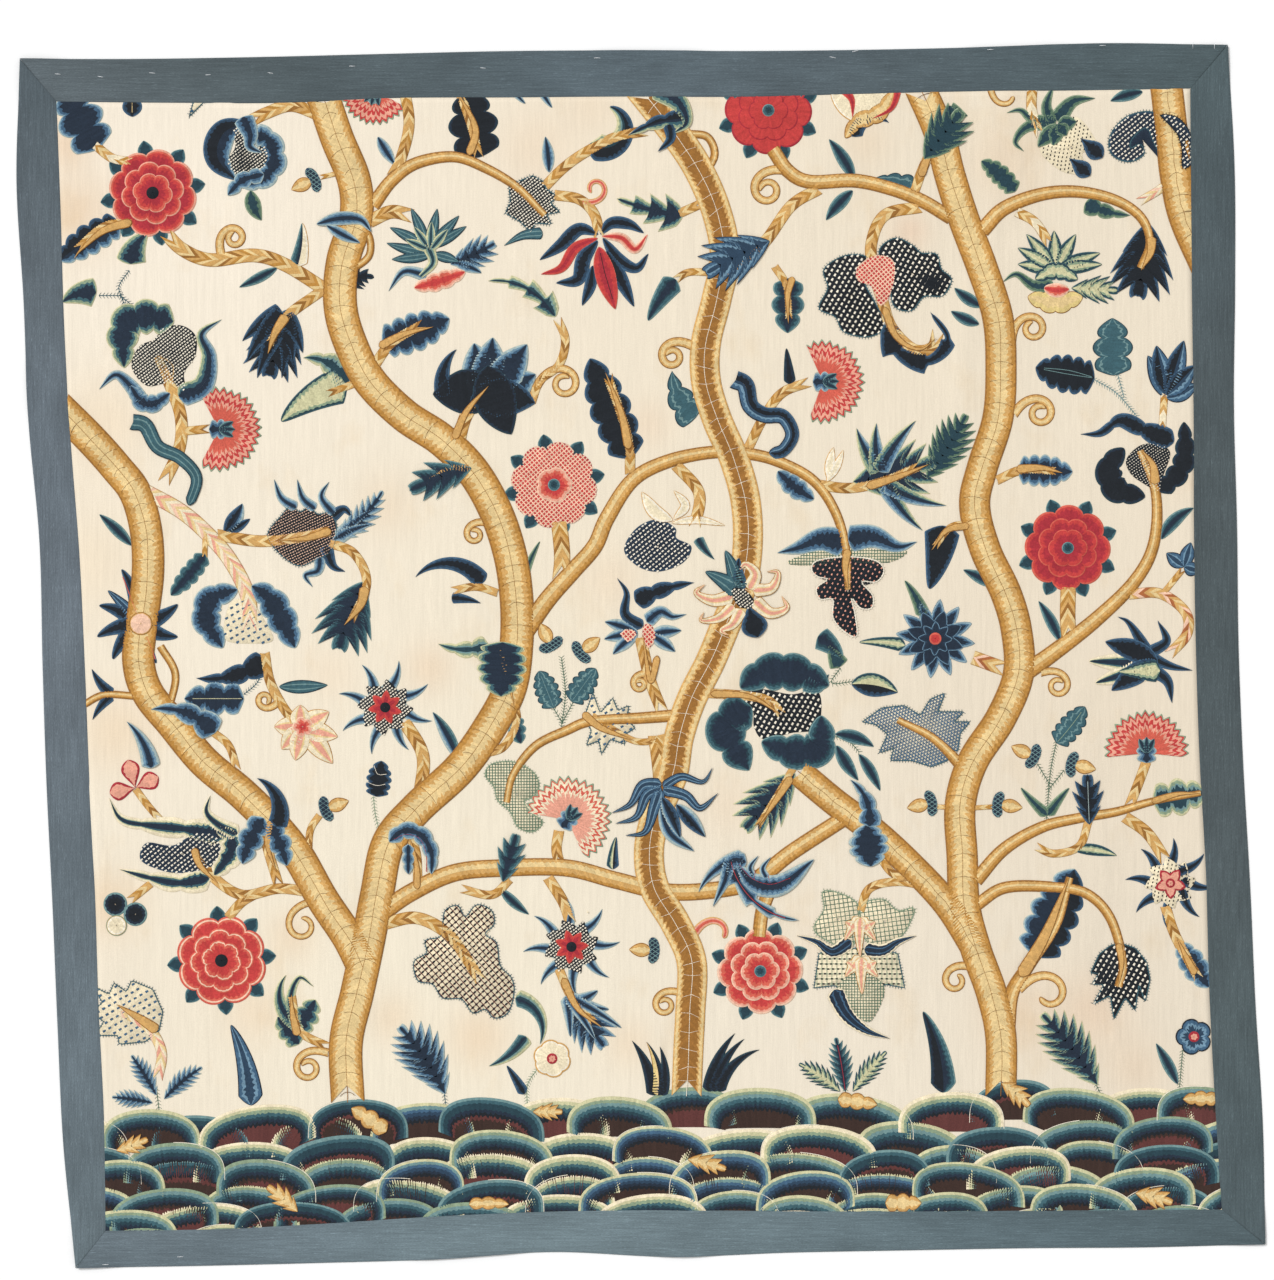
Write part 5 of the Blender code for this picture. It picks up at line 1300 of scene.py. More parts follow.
PATCHES = (
    # net, edge stitches, level, smooth or sharp, outline
    ("check", None, 0.9, "smooth", ((-65.2, 84.2), (-63.8, 84.0), (-62.6, 81.0), (-60.4, 81.6), (-59.8, 79.4),
     (-61.6, 77.2), (-64.6, 76.8), (-66.2, 79.0), (-65.0, 81.4))),
    ("check", None, 0.9, "smooth", ((-81.6, 46.2), (-80.4, 49.4), (-78.0, 50.6), (-76.4, 52.4), (-73.6, 52.8),
     (-71.4, 51.2), (-71.4, 48.0), (-73.2, 45.2), (-73.0, 42.4), (-75.6, 43.6), (-79.2, 43.2))),
    ("check", "teal", 0.4, "sharp", ((-21.2, 75.2), (-19.4, 76.0), (-17.4, 76.8), (-15.6, 75.8), (-15.4, 74.8),
     (-13.4, 73.4), (-14.6, 72.4), (-13.0, 71.0), (-15.2, 70.6), (-14.4, 69.0), (-17.0, 69.2), (-17.6, 67.6),
     (-19.4, 69.4), (-21.8, 70.8), (-21.0, 72.6))),
    ("seeds", None, 0.5, "smooth", ((63.8, 81.0), (65.6, 83.4), (69.4, 86.2), (72.4, 83.0), (73.0, 80.6),
     (70.6, 80.4), (71.0, 77.4), (68.0, 77.2), (65.2, 79.0))),
    ("blue dots", "teal", 0.5, "smooth", ((84.0, 84.8), (81.6, 87.0), (77.6, 86.2), (75.0, 83.2), (75.2, 80.2),
     (78.0, 79.0), (80.4, 80.2), (79.8, 81.8), (78.2, 81.2), (78.6, 82.8), (80.8, 84.4), (82.2, 81.6),
     (84.4, 77.8), (84.6, 81.2))),
    ("blue dots", "ink", 2.6, "smooth", ((83.0, 86.4), (85.8, 86.0), (87.8, 83.4), (88.4, 79.4), (86.6, 78.0),
     (86.4, 81.4), (85.2, 84.4))),
    ("dots", "teal", 0.5, "smooth", ((36.2, 63.6), (32.6, 64.0), (29.2, 61.8), (29.8, 58.8), (28.4, 55.6),
     (31.0, 54.2), (32.4, 51.8), (36.4, 51.0), (39.0, 52.8), (37.4, 56.4), (35.6, 60.0))),
    ("dots", "teal", 0.5, "smooth", ((38.0, 64.6), (40.6, 66.8), (43.4, 65.6), (44.8, 64.4), (47.2, 64.2),
     (48.0, 61.8), (49.6, 60.2), (48.2, 57.6), (45.2, 57.4), (43.2, 55.2), (40.4, 56.0), (39.6, 60.0))),
    ("trellis", None, 1.2, "smooth", ((34.6, 62.2), (37.4, 64.0), (40.2, 63.2), (40.4, 60.0), (39.2, 56.6),
     (38.0, 56.2), (36.8, 59.0), (34.6, 60.0))),
    ("spots", None, 0.5, "smooth", ((-65.6, 8.6), (-66.8, 5.0), (-66.4, 2.4), (-62.6, 1.9), (-59.0, 2.4),
     (-60.2, 5.4), (-62.6, 8.8))),
    ("speckle", "teal", 0.5, "smooth", ((-59.8, 19.4), (-57.6, 22.4), (-56.2, 23.8), (-54.6, 23.0), (-53.2, 23.8),
     (-51.8, 22.6), (-49.8, 22.8), (-48.8, 20.4), (-49.6, 16.8), (-52.4, 15.2), (-55.0, 14.4), (-58.0, 16.4))),
    ("fine check", None, 0.4, "smooth", ((23.4, 15.0), (27.0, 16.6), (30.5, 18.0), (32.2, 16.6), (30.0, 14.8),
     (25.5, 14.4))),
    ("fine check", None, 0.4, "smooth", ((34.0, 18.6), (36.4, 17.2), (40.0, 16.8), (42.6, 16.6), (40.0, 15.0),
     (35.0, 14.8), (33.2, 16.0))),
    ("rosy", "chalk", 0.9, "smooth", ((28.2, 15.2), (27.2, 13.8), (28.2, 12.6), (29.8, 12.2), (28.0, 10.8),
     (28.6, 9.0), (30.6, 9.0), (30.6, 6.2), (32.0, 4.2), (34.4, 3.0), (34.2, 6.4), (33.6, 9.2), (35.0, 7.6),
     (36.8, 7.6), (37.0, 9.6), (35.2, 11.8), (37.6, 11.8), (38.8, 13.6), (37.4, 15.2), (33.0, 15.8))),
    ("blue dots", None, 0.5, "smooth", ((-2.8, 17.0), (-0.8, 20.4), (2.6, 21.8), (5.4, 20.4), (5.6, 18.8),
     (8.0, 17.4), (6.6, 14.8), (2.6, 13.4), (-0.8, 14.4))),
    ("fine dots", None, 0.9, "smooth", ((77.6, 31.4), (79.8, 33.6), (82.6, 33.8), (84.6, 32.4), (83.4, 28.6),
     (82.8, 26.4), (80.2, 27.6), (78.2, 29.2))),
    ("blue dots", None, 0.9, "smooth", ((-80.2, -32.6), (-79.2, -30.0), (-75.0, -30.4), (-71.6, -28.6),
     (-68.0, -28.8), (-67.4, -31.8), (-69.6, -34.2), (-74.0, -34.8), (-77.4, -34.2))),
    ("spots", "teal", 0.4, "sharp", ((-7.8, -6.0), (-6.6, -9.2), (-4.6, -6.8), (-3.8, -8.8), (-2.0, -8.0),
     (-2.4, -10.2), (-1.0, -11.6), (-3.0, -12.8), (-2.6, -14.2), (-5.0, -13.4), (-6.4, -15.8), (-6.8, -13.6),
     (-8.8, -14.4), (-8.0, -12.0), (-9.2, -10.0))),
    ("fine check", "sage", 0.4, "smooth", ((-24.0, -17.4), (-20.6, -17.0), (-17.4, -18.6), (-16.4, -20.8),
     (-17.4, -22.6), (-18.8, -23.4), (-17.6, -25.2), (-15.8, -26.6), (-17.4, -28.2), (-19.8, -27.4),
     (-21.0, -25.0), (-23.0, -23.2), (-23.6, -21.0), (-25.0, -19.2))),
    ("tile", "teal", 0.4, "smooth", ((-31.4, -40.8), (-29.4, -40.0), (-28.2, -41.8), (-26.4, -39.9), (-24.0, -40.8),
     (-23.6, -43.0), (-25.0, -44.6), (-23.2, -46.0), (-22.6, -49.6), (-20.8, -51.6), (-20.4, -54.0),
     (-21.4, -57.2), (-23.6, -58.0), (-25.0, -56.6), (-27.0, -57.2), (-28.8, -55.0), (-31.8, -54.8),
     (-33.4, -52.6), (-35.8, -52.0), (-36.4, -49.0), (-34.4, -47.6), (-34.6, -45.6), (-32.2, -45.0),
     (-31.8, -43.0))),
    ("dots", None, 0.4, "smooth", ((15.8, -6.6), (19.0, -5.4), (24.0, -6.2), (28.0, -5.6), (28.8, -8.6),
     (27.8, -11.8), (24.0, -12.4), (19.6, -13.4), (18.0, -11.4), (17.8, -8.8))),
    ("tangle", "teal", 0.4, "sharp", ((35.4, -10.6), (38.4, -8.4), (42.0, -8.0), (44.6, -9.6), (46.2, -7.0),
     (48.6, -6.0), (47.4, -9.0), (51.6, -9.0), (50.0, -10.6), (52.6, -10.6), (51.0, -12.4), (50.6, -15.4),
     (48.8, -14.6), (49.0, -16.8), (46.4, -17.8), (43.2, -16.8), (39.8, -16.8), (40.4, -14.8), (38.0, -15.6),
     (39.4, -12.6), (37.4, -11.0))),
    ("square", "sage", 0.4, "smooth", ((34.6, -39.8), (31.6, -38.0), (29.0, -37.8), (29.2, -40.6), (27.6, -43.8),
     (30.4, -46.0), (33.4, -46.8), (34.9, -43.4))),
    ("square", "sage", 0.4, "smooth", ((35.2, -40.0), (38.6, -39.0), (41.0, -40.8), (43.6, -40.4), (43.0, -42.6),
     (41.4, -45.0), (37.4, -46.8), (35.0, -43.6))),
    ("squares", "teal", 0.3, "sharp", ((27.6, -53.2), (28.4, -47.6), (34.6, -46.8), (41.0, -47.6), (42.1, -53.2),
     (39.0, -52.6), (35.0, -55.4), (31.0, -52.8))),
    ("fine check", None, 0.9, "smooth", ((31.2, -53.4), (34.0, -50.8), (37.8, -51.8), (38.9, -54.0), (36.8, -58.4),
     (34.8, -58.0), (32.6, -56.4))),
    ("dots", "teal", 0.4, "sharp", ((76.6, -46.0), (79.0, -46.8), (80.8, -49.0), (81.4, -51.8), (80.6, -55.4),
     (79.6, -52.6), (79.0, -56.8), (77.4, -54.8), (75.6, -58.2), (75.0, -54.4), (72.2, -55.8), (74.0, -52.6),
     (72.0, -52.6), (73.2, -50.8), (71.8, -50.8), (73.2, -47.8), (75.0, -46.4))),
    ("spots", "teal", 0.4, "sharp", ((-88.0, -52.8), (-85.2, -54.2), (-84.4, -52.4), (-82.4, -53.8), (-81.6, -52.0),
     (-78.2, -53.4), (-76.6, -57.0), (-77.2, -60.0), (-79.4, -61.8), (-83.6, -62.2), (-83.8, -60.8),
     (-87.6, -60.8), (-86.0, -58.6), (-88.4, -57.0), (-86.2, -55.6))),
    ("spots", "teal", 0.4, "sharp", ((-71.0, 91.0), (-72.4, 86.2), (-70.2, 88.4), (-68.8, 91.0))),
    ("trellis", None, 1.2, "smooth", ((0.4, 4.8), (1.6, 4.8), (2.2, 3.0), (1.2, 1.2), (0.2, 2.6))),
    ("trellis", None, 1.2, "smooth", ((-0.8, 3.6), (-2.2, 4.2), (-3.4, 3.4), (-2.0, 2.2))),
    ("check", None, 3.4, "smooth", ((14.4, 10.6), (16.2, 10.7), (17.9, 9.0), (17.4, 7.6), (15.4, 8.0))),
    ("pale net", None, 2.6, "smooth", ((-8.4, -41.0), (-8.6, -41.2), (-8.8, -41.0))),
)

DISCS = (
    # x, y, radius, bands, level, shape, count, depth, turn, outline thread
    (47.0, 2.7, 6.4, "blue", 0.3, "star", 12, 0.40, 8, "sky"),
    (47.0, 2.7, 4.7, "plain navy", 1.0, "star", 8, 0.42, 4, "sky"),
    (47.0, 2.7, 2.8, "plain navy", 1.8, "star", 8, 0.42, 20, "sky"),
    (47.0, 2.7, 1.0, "coral knot", 2.8, "plain", 1, 0, 0, None),
    (-80.1, 5.1, 1.8, "blush knot", 1.6, "plain", 1, 0, 0, "bark"),
    (-54.2, -11.4, 1.7, "pale rose", 1.5, "lobes", 5, 0.3, 0, None),
    (-14.3, -64.5, 3.0, "cream", 0.4, "lobes", 6, 0.14, 10, "gold"),
    (-14.3, -64.5, 0.9, "berry", 1.2, "plain", 1, 0, 0, None),
    (88.4, -61.0, 2.9, "steel", 0.4, "lobes", 5, 0.24, 0, "ink"),
    (88.4, -61.0, 0.9, "berry", 1.2, "plain", 1, 0, 0, None),
    (-84.2, -39.8, 1.9, "fruit", 0.4, "plain", 1, 0, 0, None),
    (-81.0, -41.4, 1.9, "fruit", 0.5, "plain", 1, 0, 0, None),
    (-84.0, -43.2, 1.6, "cream", 0.6, "plain", 1, 0, 0, "sage"),
    (-84.6, 5.0, 0.01, "cream", 0.6, "plain", 1, 0, 0, None),
)

WHIRLS = (
    # x, y, radius, blades, turn, blade bands, net between, core bands, core points
    (-41.0, -8.3, 7.8, 8, 8, "blue", "check", "scarlet", 7),
    (-11.2, -46.6, 7.8, 8, 30, "blue", "check", "scarlet", 7),
    (84.6, -36.4, 7.2, 8, 20, "night", "seeds", "berry", 5),
)

ACORNS = (
    # x, y of the cup, heading of the nut
    (-52.4, 76.2, 205), (-14.4, 1.6, 118), (-9.8, 0.4, 38), (-50.6, -24.6, 20), (2.0, -47.2, 178),
    (46.4, -23.6, 192), (57.0, -23.8, 352), (62.8, -16.2, 155), (68.8, -17.4, 348),
)

SPRIGS = (
    # thread, points: feather stitch stems
    ("teal", ((-86.8, 57.6), (-83.4, 57.6))), ("teal", ((-82.0, 61.6), (-83.6, 59.2), (-83.3, 57.6), (-82.2, 54.8))),
    ("teal", ((-83.4, 57.6), (-81.0, 55.6))), ("mist", ((72.4, 44.2), (76.0, 42.0), (79.2, 38.4))),
    ("mist", ((76.2, 45.0), (77.2, 41.4))), ("teal", ((-63.6, -6.2), (-61.4, -4.2), (-60.4, -1.2))),
    ("sage", ((-42.9, -22.6), (-42.6, -25.4), (-41.9, -28.2))), ("moss", ((-12.8, -11.4), (-12.2, -6.0), (-12.8, -0.4))),
    ("moss", ((-12.7, -10.8), (-14.2, -8.2))), ("moss", ((-12.7, -10.8), (-11.0, -7.6))),
    ("moss", ((31.8, -2.0), (30.4, -4.4), (33.6, -4.2))), ("moss", ((30.2, -12.8), (33.0, -13.6), (34.8, -15.4))),
    ("moss", ((66.4, -13.8), (65.4, -19.0), (64.8, -26.8))), ("moss", ((63.4, -17.4), (65.2, -20.4))),
    ("moss", ((67.6, -18.4), (65.2, -21.4))), ("sage", ((-16.4, -65.8), (-18.2, -68.6), (-18.3, -72.0))),
    ("moss", ((86.6, -63.2), (86.0, -70.4))), ("teal", ((-31.6, -69.8), (-31.3, -72.0))),
    ("moss", ((71.8, -66.8), (73.4, -70.0))), ("moss", ((32.6, -68.8), (32.7, -71.0))),
    ("moss", ((-77.6, -69.4), (-77.2, -72.8))),
)

VEINS = (
    # thread, width in millimetres, level, points
    ("crimson", 1.5, 3.2, ((-39.6, -29.4), (-37.6, -28.6), (-35.4, -29.4), (-34.4, -32.0), (-34.4, -34.6))),
    ("crimson", 1.3, 3.4, ((15.6, -33.4), (17.6, -35.6), (20.6, -36.6), (23.8, -35.6))),
    ("crimson", 1.0, 3.4, ((18.0, -35.8), (18.2, -34.4))), ("crimson", 1.0, 3.4, ((20.6, -36.4), (20.2, -35.0))),
    ("coral", 1.4, 1.8, ((-80.8, 6.8), (-82.0, 10.0), (-83.0, 12.6))),
    ("coral", 1.4, 1.8, ((-79.2, 3.0), (-78.4, 1.2), (-77.8, -0.6))),
    ("ink", 1.2, 2.2, ((-6.6, 64.4), (-5.8, 61.0), (-4.6, 57.0))),
    ("ink", 1.2, 3.6, ((15.4, 10.8), (14.2, 13.4), (13.6, 15.6))), ("ink", 1.2, 3.6, ((17.4, 7.0), (18.0, 5.2))),
    ("mist", 1.0, 1.6, ((64.4, 46.0), (68.4, 45.6), (72.0, 44.6))),
    ("chalk", 1.0, 1.6, ((71.4, -21.4), (71.8, -24.0), (71.8, -26.4))),
    ("chalk", 1.0, 1.4, ((-44.0, -20.2), (-42.4, -20.8), (-41.0, -20.6))),
    ("chalk", 1.0, 1.4, ((-42.8, -17.6), (-42.2, -19.0), (-40.8, -19.0))),
    ("gold", 3.0, 1.4, ((-75.3, 43.0), (-75.0, 46.4), (-77.6, 48.0))),
)

MIDRIBS = (
    # width in centimetres at its base, points: ochre ribs laid over leaves
    (1.5, ((-81.5, 69.4), (-86.0, 68.0), (-89.6, 65.0), (-90.8, 63.4))), (1.7, ((-56.8, 54.4), (-58.6, 51.6), (-59.8, 48.2))),
    (1.4, ((-27.6, 80.0), (-26.6, 84.4), (-29.6, 90.4))), (1.4, ((-42.0, 49.4), (-38.0, 51.4), (-33.2, 52.6))),
    (1.2, ((24.2, 60.6), (23.4, 57.6), (23.5, 53.0))), (1.6, ((19.6, 65.6), (15.6, 62.2), (12.4, 60.2))),
    (1.5, ((44.6, 76.6), (46.2, 80.6), (48.9, 84.6))), (1.3, ((38.8, 55.8), (40.8, 51.0), (44.4, 49.0), (47.2, 50.8))),
    (1.6, ((81.6, 67.0), (81.4, 64.4), (79.9, 61.6))), (1.5, ((60.0, 29.8), (64.0, 30.0), (67.4, 29.2))),
    (1.3, ((52.4, 20.8), (48.8, 20.0), (46.4, 16.8))), (1.7, ((-44.2, 11.0), (-45.0, 8.0), (-47.6, 4.8))),
    (1.5, ((-2.0, 33.0), (-3.2, 38.6), (-5.8, 45.4))), (1.3, ((-27.4, 29.8), (-30.6, 30.0), (-34.2, 28.2))),
    (1.4, ((-30.0, 34.6), (-28.0, 39.0), (-24.4, 43.2))), (1.5, ((36.0, 27.0), (41.0, 28.6), (46.0, 30.6))),
    (1.4, ((24.0, -19.4), (21.2, -23.6), (18.6, -27.4))), (2.2, ((60.6, -51.4), (64.6, -44.6), (68.4, -35.4))),
    (1.2, ((81.6, -23.4), (85.6, -22.2), (89.4, -22.0))), (1.3, ((-59.4, -26.4), (-59.8, -30.4), (-58.4, -34.6))),
    (1.2, ((-22.6, 1.0), (-21.4, -3.4), (-20.4, -8.0))), (1.4, ((-55.0, -60.8), (-55.8, -57.4), (-56.0, -54.2))),
    (1.8, ((-77.4, -60.0), (-80.4, -58.0), (-84.0, -55.8))), (1.2, ((76.3, -46.0), (76.8, -49.4), (76.2, -53.2))),
    (1.3, ((88.6, -51.0), (86.8, -47.6), (85.6, -45.0))), (1.4, ((33.0, 17.0), (32.6, 14.0), (33.1, 10.4))),
    (1.4, ((-49.6, 20.0), (-53.6, 18.8), (-58.0, 18.4))), (1.6, ((82.2, 27.4), (81.8, 30.4), (79.9, 33.0))),
    (1.2, ((-35.9, -37.4), (-36.0, -33.4), (-37.2, -28.8))), (1.4, ((-9.4, -9.2), (-6.4, -11.6), (-1.2, -13.6))),
    (1.3, ((11.0, -6.1), (17.4, -6.6), (22.6, -9.6))), (1.4, ((-12.6, -51.6), (-10.2, -56.4), (-6.2, -59.6))),
    (1.2, ((2.6, 0.0), (1.4, -4.0), (0.2, 3.4))), (1.3, ((-71.6, -30.8), (-70.6, -33.6), (-67.6, -36.6))),
)


def blob(points, sharp=False):
    """A closed outline in metres through points in centimetres, smooth or with straight sides."""
    points = np.array(points, float) * CM
    if sharp:
        return resampled(np.concatenate([points, points[:1]]), 400)[:-1]
    around = np.concatenate([points[-2:], points, points[:3]])
    whole = smooth_values(around, np.linspace(0, 1, 24 * (len(around) - 1) + 1))
    return resampled(whole[48:48 + 24 * len(points) + 1], 400)[:-1]


def chord(base, tip, bend, count=300):
    """A path from a base to a tip that turns by a number of degrees on its way."""
    run = np.array(tip) - np.array(base)
    length, heading = np.hypot(*run), math.degrees(math.atan2(run[1], run[0]))
    half = math.radians(abs(bend) / 2)
    stretch = half / math.sin(half) if half > 0.001 else 1.0
    return turning(*base, heading - bend / 2, length * stretch, bend, count=count)


def vein(work, spine, thread, level):
    thread_line(work, spine[int(len(spine) * 0.04):int(len(spine) * 0.86)], 1.2, thread, level)


def work_leaves():
    for form, x, y, heading, length, width, bend, bands, level, thread in LEAVES:
        work = region("leaves", x, y)
        spine = petal(work, form, x, y, heading, length, width, bend, bands, level)
        if thread:
            vein(work, spine, thread, level + 1.1)
    for form, width, bands, level, points in SWEEPS:
        leaf(region("flowers", *points[0]), curve(points), width, form, bands, level)
    for form, width, bend, bands, level, base, tips in SPRAYS:
        for k, tip in enumerate(tips):
            spine = chord(base, tip, bend)
            leaf(region("flowers", *base), spine, width, form, bands, level + 0.12 * (k % 3))
    for width, points in MIDRIBS:
        leaf(region("stems", *points[0]), curve(points), width, "horn", "midrib", 2.9 if width > 2 else 2.2)
    for thread, width, level, points in VEINS:
        thread_line(region("flowers", *points[0]), curve(points), width, thread, level)


def work_stems():
    for start, end, points in BOUGHS:
        spine = curve(points, 800)
        share = np.linspace(0, 1, len(spine))
        bough(Needlework.of("boughs_left" if points[0][0] < 0 else "boughs_right"), spine,
              start + (end - start) * share, "bough high/bough low", 0.75)
    for plait, width, points in STEMS:
        spine = curve(points, 600)
        leaf(region("stems", *points[0]), spine, width, "limb", "curl", 0.6, slant=0.9 * width * CM / arc_lengths(
            spine)[-1], plait=plait)
    for x, y, heading, length, turn, width, bands in TENDRILS:
        spine = turning(x, y, heading, length, turn, ease=1.75)
        leaf(region("stems", x, y), spine, width, "curl", bands, 0.5)
    for thread, points in SPRIGS:
        sprig(region("stems", *points[0]), curve(points), thread)


def bough(work, spine, width, bands, level):
    """A limb whose width in centimetres changes along it."""
    side, _ = normals(spine)
    left, right = bands.split("/")
    for sign, name in ((1, left), (-1, right)):
        rim = spine + side * sign * (width * CM / 2)[:, None]
        count = half_stitches(arc_lengths(rim)[-1])
        stitched(work, resampled(rim, count), resampled(spine, count), BANDS[name], level)


def sprig(work, line, thread):
    """A feather stitch stem: a laid thread with short slanted barbs on both sides."""
    thread_line(work, line, 1.3, thread, 0.3)
    count = max(2, int(arc_lengths(line)[-1] / (4.4 * MM)))
    at = resampled(line, count)
    side, along = normals(at)
    for sign in (1, -1):
        tips = at + (along * 0.75 + side * sign) * 4.6 * MM
        bars(work, at, tips, 1.1, thread, 0.35, 0.4, 0.5)


def work_flowers():
    for row in ROSES:
        rose(*row)
    for row in CARNATIONS:
        carnation(*row)
    for net, edge, level, kind, outline in PATCHES:
        middle = np.mean(outline, 0)
        open_work(region("lattice", *middle), blob(outline, kind == "sharp"), net, level, edge)
    for x, y, radius, bands, level, shape, count, depth, turn, outline in DISCS:
        disc(region("flowers", x, y), x, y, radius, bands, level, shape, count, depth, turn, outline)
    for row in WHIRLS:
        whirl(*row)
    for row in ACORNS:
        acorn(*row)


def whirl(x, y, radius, blades, turn, bands, net, core, points):
    """A wheel of curved blades round an open centre with a star at its heart."""
    work = region("flowers", x, y)
    for k in range(blades):
        heading = math.radians(turn + 360 / blades * k)
        base = (x + 0.30 * radius * math.cos(heading), y + 0.30 * radius * math.sin(heading))
        far = heading - 0.42
        tip = (x + radius * math.cos(far), y + radius * math.sin(far))
        leaf(work, chord(base, tip, 62), radius * 0.27, "horn", bands, 0.3 + 0.1 * (k % 2))
    open_work(work, ring(x, y, radius * 0.58, "swirl", blades, 0.28, turn), net, 1.0)
    disc(work, x, y, radius * 0.36, core, 2.2, "star", points, 0.42, turn)
    disc(work, x, y, radius * 0.11, "plain dark" if core == "scarlet" else core, 3.0)


def acorn(x, y, heading):
    """A cup worked in open net, with a smooth nut."""
    work = region("flowers", x, y)
    turn = math.radians(heading)
    out = np.array([math.cos(turn), math.sin(turn)])
    across = np.array([-out[1], out[0]])
    centre = np.array((x, y))
    nut = centre + out * 0.4
    petal(work, "leaf", *nut, heading, 3.6, 2.3, 0, "nut", 0.3)
    cup = [centre + out * a + across * b for a, b in ((-0.9, 0), (-0.6, 1.5), (0.3, 2.1), (0.9, 1.4), (0.7, 0),
                                                      (0.9, -1.4), (0.3, -2.1), (-0.6, -1.5))]
    open_work(work, blob(cup), "cup", 1.0)


def slab(name, plan, base, top, finish, tint, lower_first=True):
    """A closed sheet of cloth: a grid of plan points between its underside and its top."""
    rows, columns = plan.shape[:2]
    flat = plan.reshape(-1, 2) - MIDDLE
    low = np.column_stack([flat, base.ravel()])
    high = np.column_stack([flat, top.ravel()])
    index = np.arange(rows * columns).reshape(rows, columns)
    quads = np.stack([index[:-1, :-1], index[:-1, 1:], index[1:, 1:], index[1:, :-1]], -1).reshape(-1, 4)
    a, b, c = flat[quads[0, 0]], flat[quads[0, 1]], flat[quads[0, 2]]
    if (b - a)[0] * (c - b)[1] - (b - a)[1] * (c - b)[0] < 0:
        quads = quads[:, ::-1]
    upper = quads + rows * columns
    rim = np.concatenate([index[0, :-1], index[:-1, -1], index[-1, :0:-1], index[:0:-1, 0]])
    beyond = np.roll(rim, -1)
    wall = np.stack([rim, beyond, beyond + rows * columns, rim + rows * columns], -1)
    outward = np.cross(high[beyond[0]] - high[rim[0]], (0, 0, 1.0)) @ (high[rim[0]] - high.mean(0))
    if outward < 0:
        wall = wall[:, ::-1]
    faces = np.concatenate([quads[:, ::-1], wall, upper])
    shades = np.concatenate([tint.reshape(-1, 3)] * 2)[faces].reshape(-1, 3)
    return surface(name, np.concatenate([low, high]), faces, finish, corner_tint=shades)


# Where the cream cloth is whiter, yellower or stained: x, y and reach in centimetres, colour, share. The broad patches
# are painted light, the cloth lighter at the left and darker at the right; the small brownish ones are stains.
TONES = (
    (-75, 70, 45, "#f3e8d6", 0.9), (0, 75, 40, "#efe2cc", 0.6), (60, 70, 50, "#e6d9c3", 0.8),
    (-70, 0, 45, "#f1e6d2", 0.8), (0, 0, 45, "#ece0c9", 0.7), (70, -20, 45, "#e3d5bf", 0.9),
    (-30, -60, 45, "#efe5cf", 0.8), (30, -55, 40, "#e9decb", 0.7), (80, -60, 30, "#e2d6c2", 0.8),
    (-90, 71, 7, "#e2c3a0", 0.5), (-92, 82, 4, "#e0bd98", 0.5), (-86, 37, 8, "#ecd2ae", 0.4),
    (-88, 15, 9, "#ecd6b6", 0.4), (-84, -12, 7, "#e9cda9", 0.5), (-85, -40, 5, "#e6c59c", 0.5),
    (-62, -57, 5, "#e7cba8", 0.4), (-56, -45, 4, "#e5c6a0", 0.4), (-26, -61, 5, "#e6c8a4", 0.5),
    (-40, -58, 4, "#e6c8a4", 0.4), (-2, -62, 4, "#e8cdab", 0.4), (-41, 24, 5, "#e4cbab", 0.4),
    (30, -46, 6, "#e6ceb0", 0.3), (14, -24, 5, "#e7cfb2", 0.4), (60, -57, 6, "#e0c3a2", 0.4),
    (72, -57, 6, "#e0c2a4", 0.5), (79, -66, 5, "#dfc4a6", 0.4), (58, 79, 6, "#dec3a4", 0.4),
    (-17, 81, 6, "#e6cdb0", 0.4), (-8, 88, 5, "#e2c8a8", 0.3), (36, 82, 4, "#e0c4a2", 0.3),
    (43, 68, 3, "#e0b89a", 0.4), (1, 37, 4, "#e8cdb0", 0.4), (-5, 12, 5, "#e9d0b2", 0.4),
    (86, 30, 5, "#e1c8aa", 0.3), (-50, -3, 5, "#ecd2b2", 0.3), (-34, -2, 4, "#e6caaa", 0.5),
)


def ground_tint(points):
    """The cream cloth's colour at each point, with its broad painted light and shade and its stains."""
    shade = np.tile(linear("#ebdfca"), (len(points), 1))
    for x, y, reach, code, share in TONES:
        away = np.linalg.norm((points / CM - (x, y)) / reach, axis=1)
        blend = (share * np.exp(-away * away))[:, None]
        shade = shade * (1 - blend) + linear(code) * blend
    return shade


SEAM_X = 0.034  # where the ground's two widths of cloth are joined


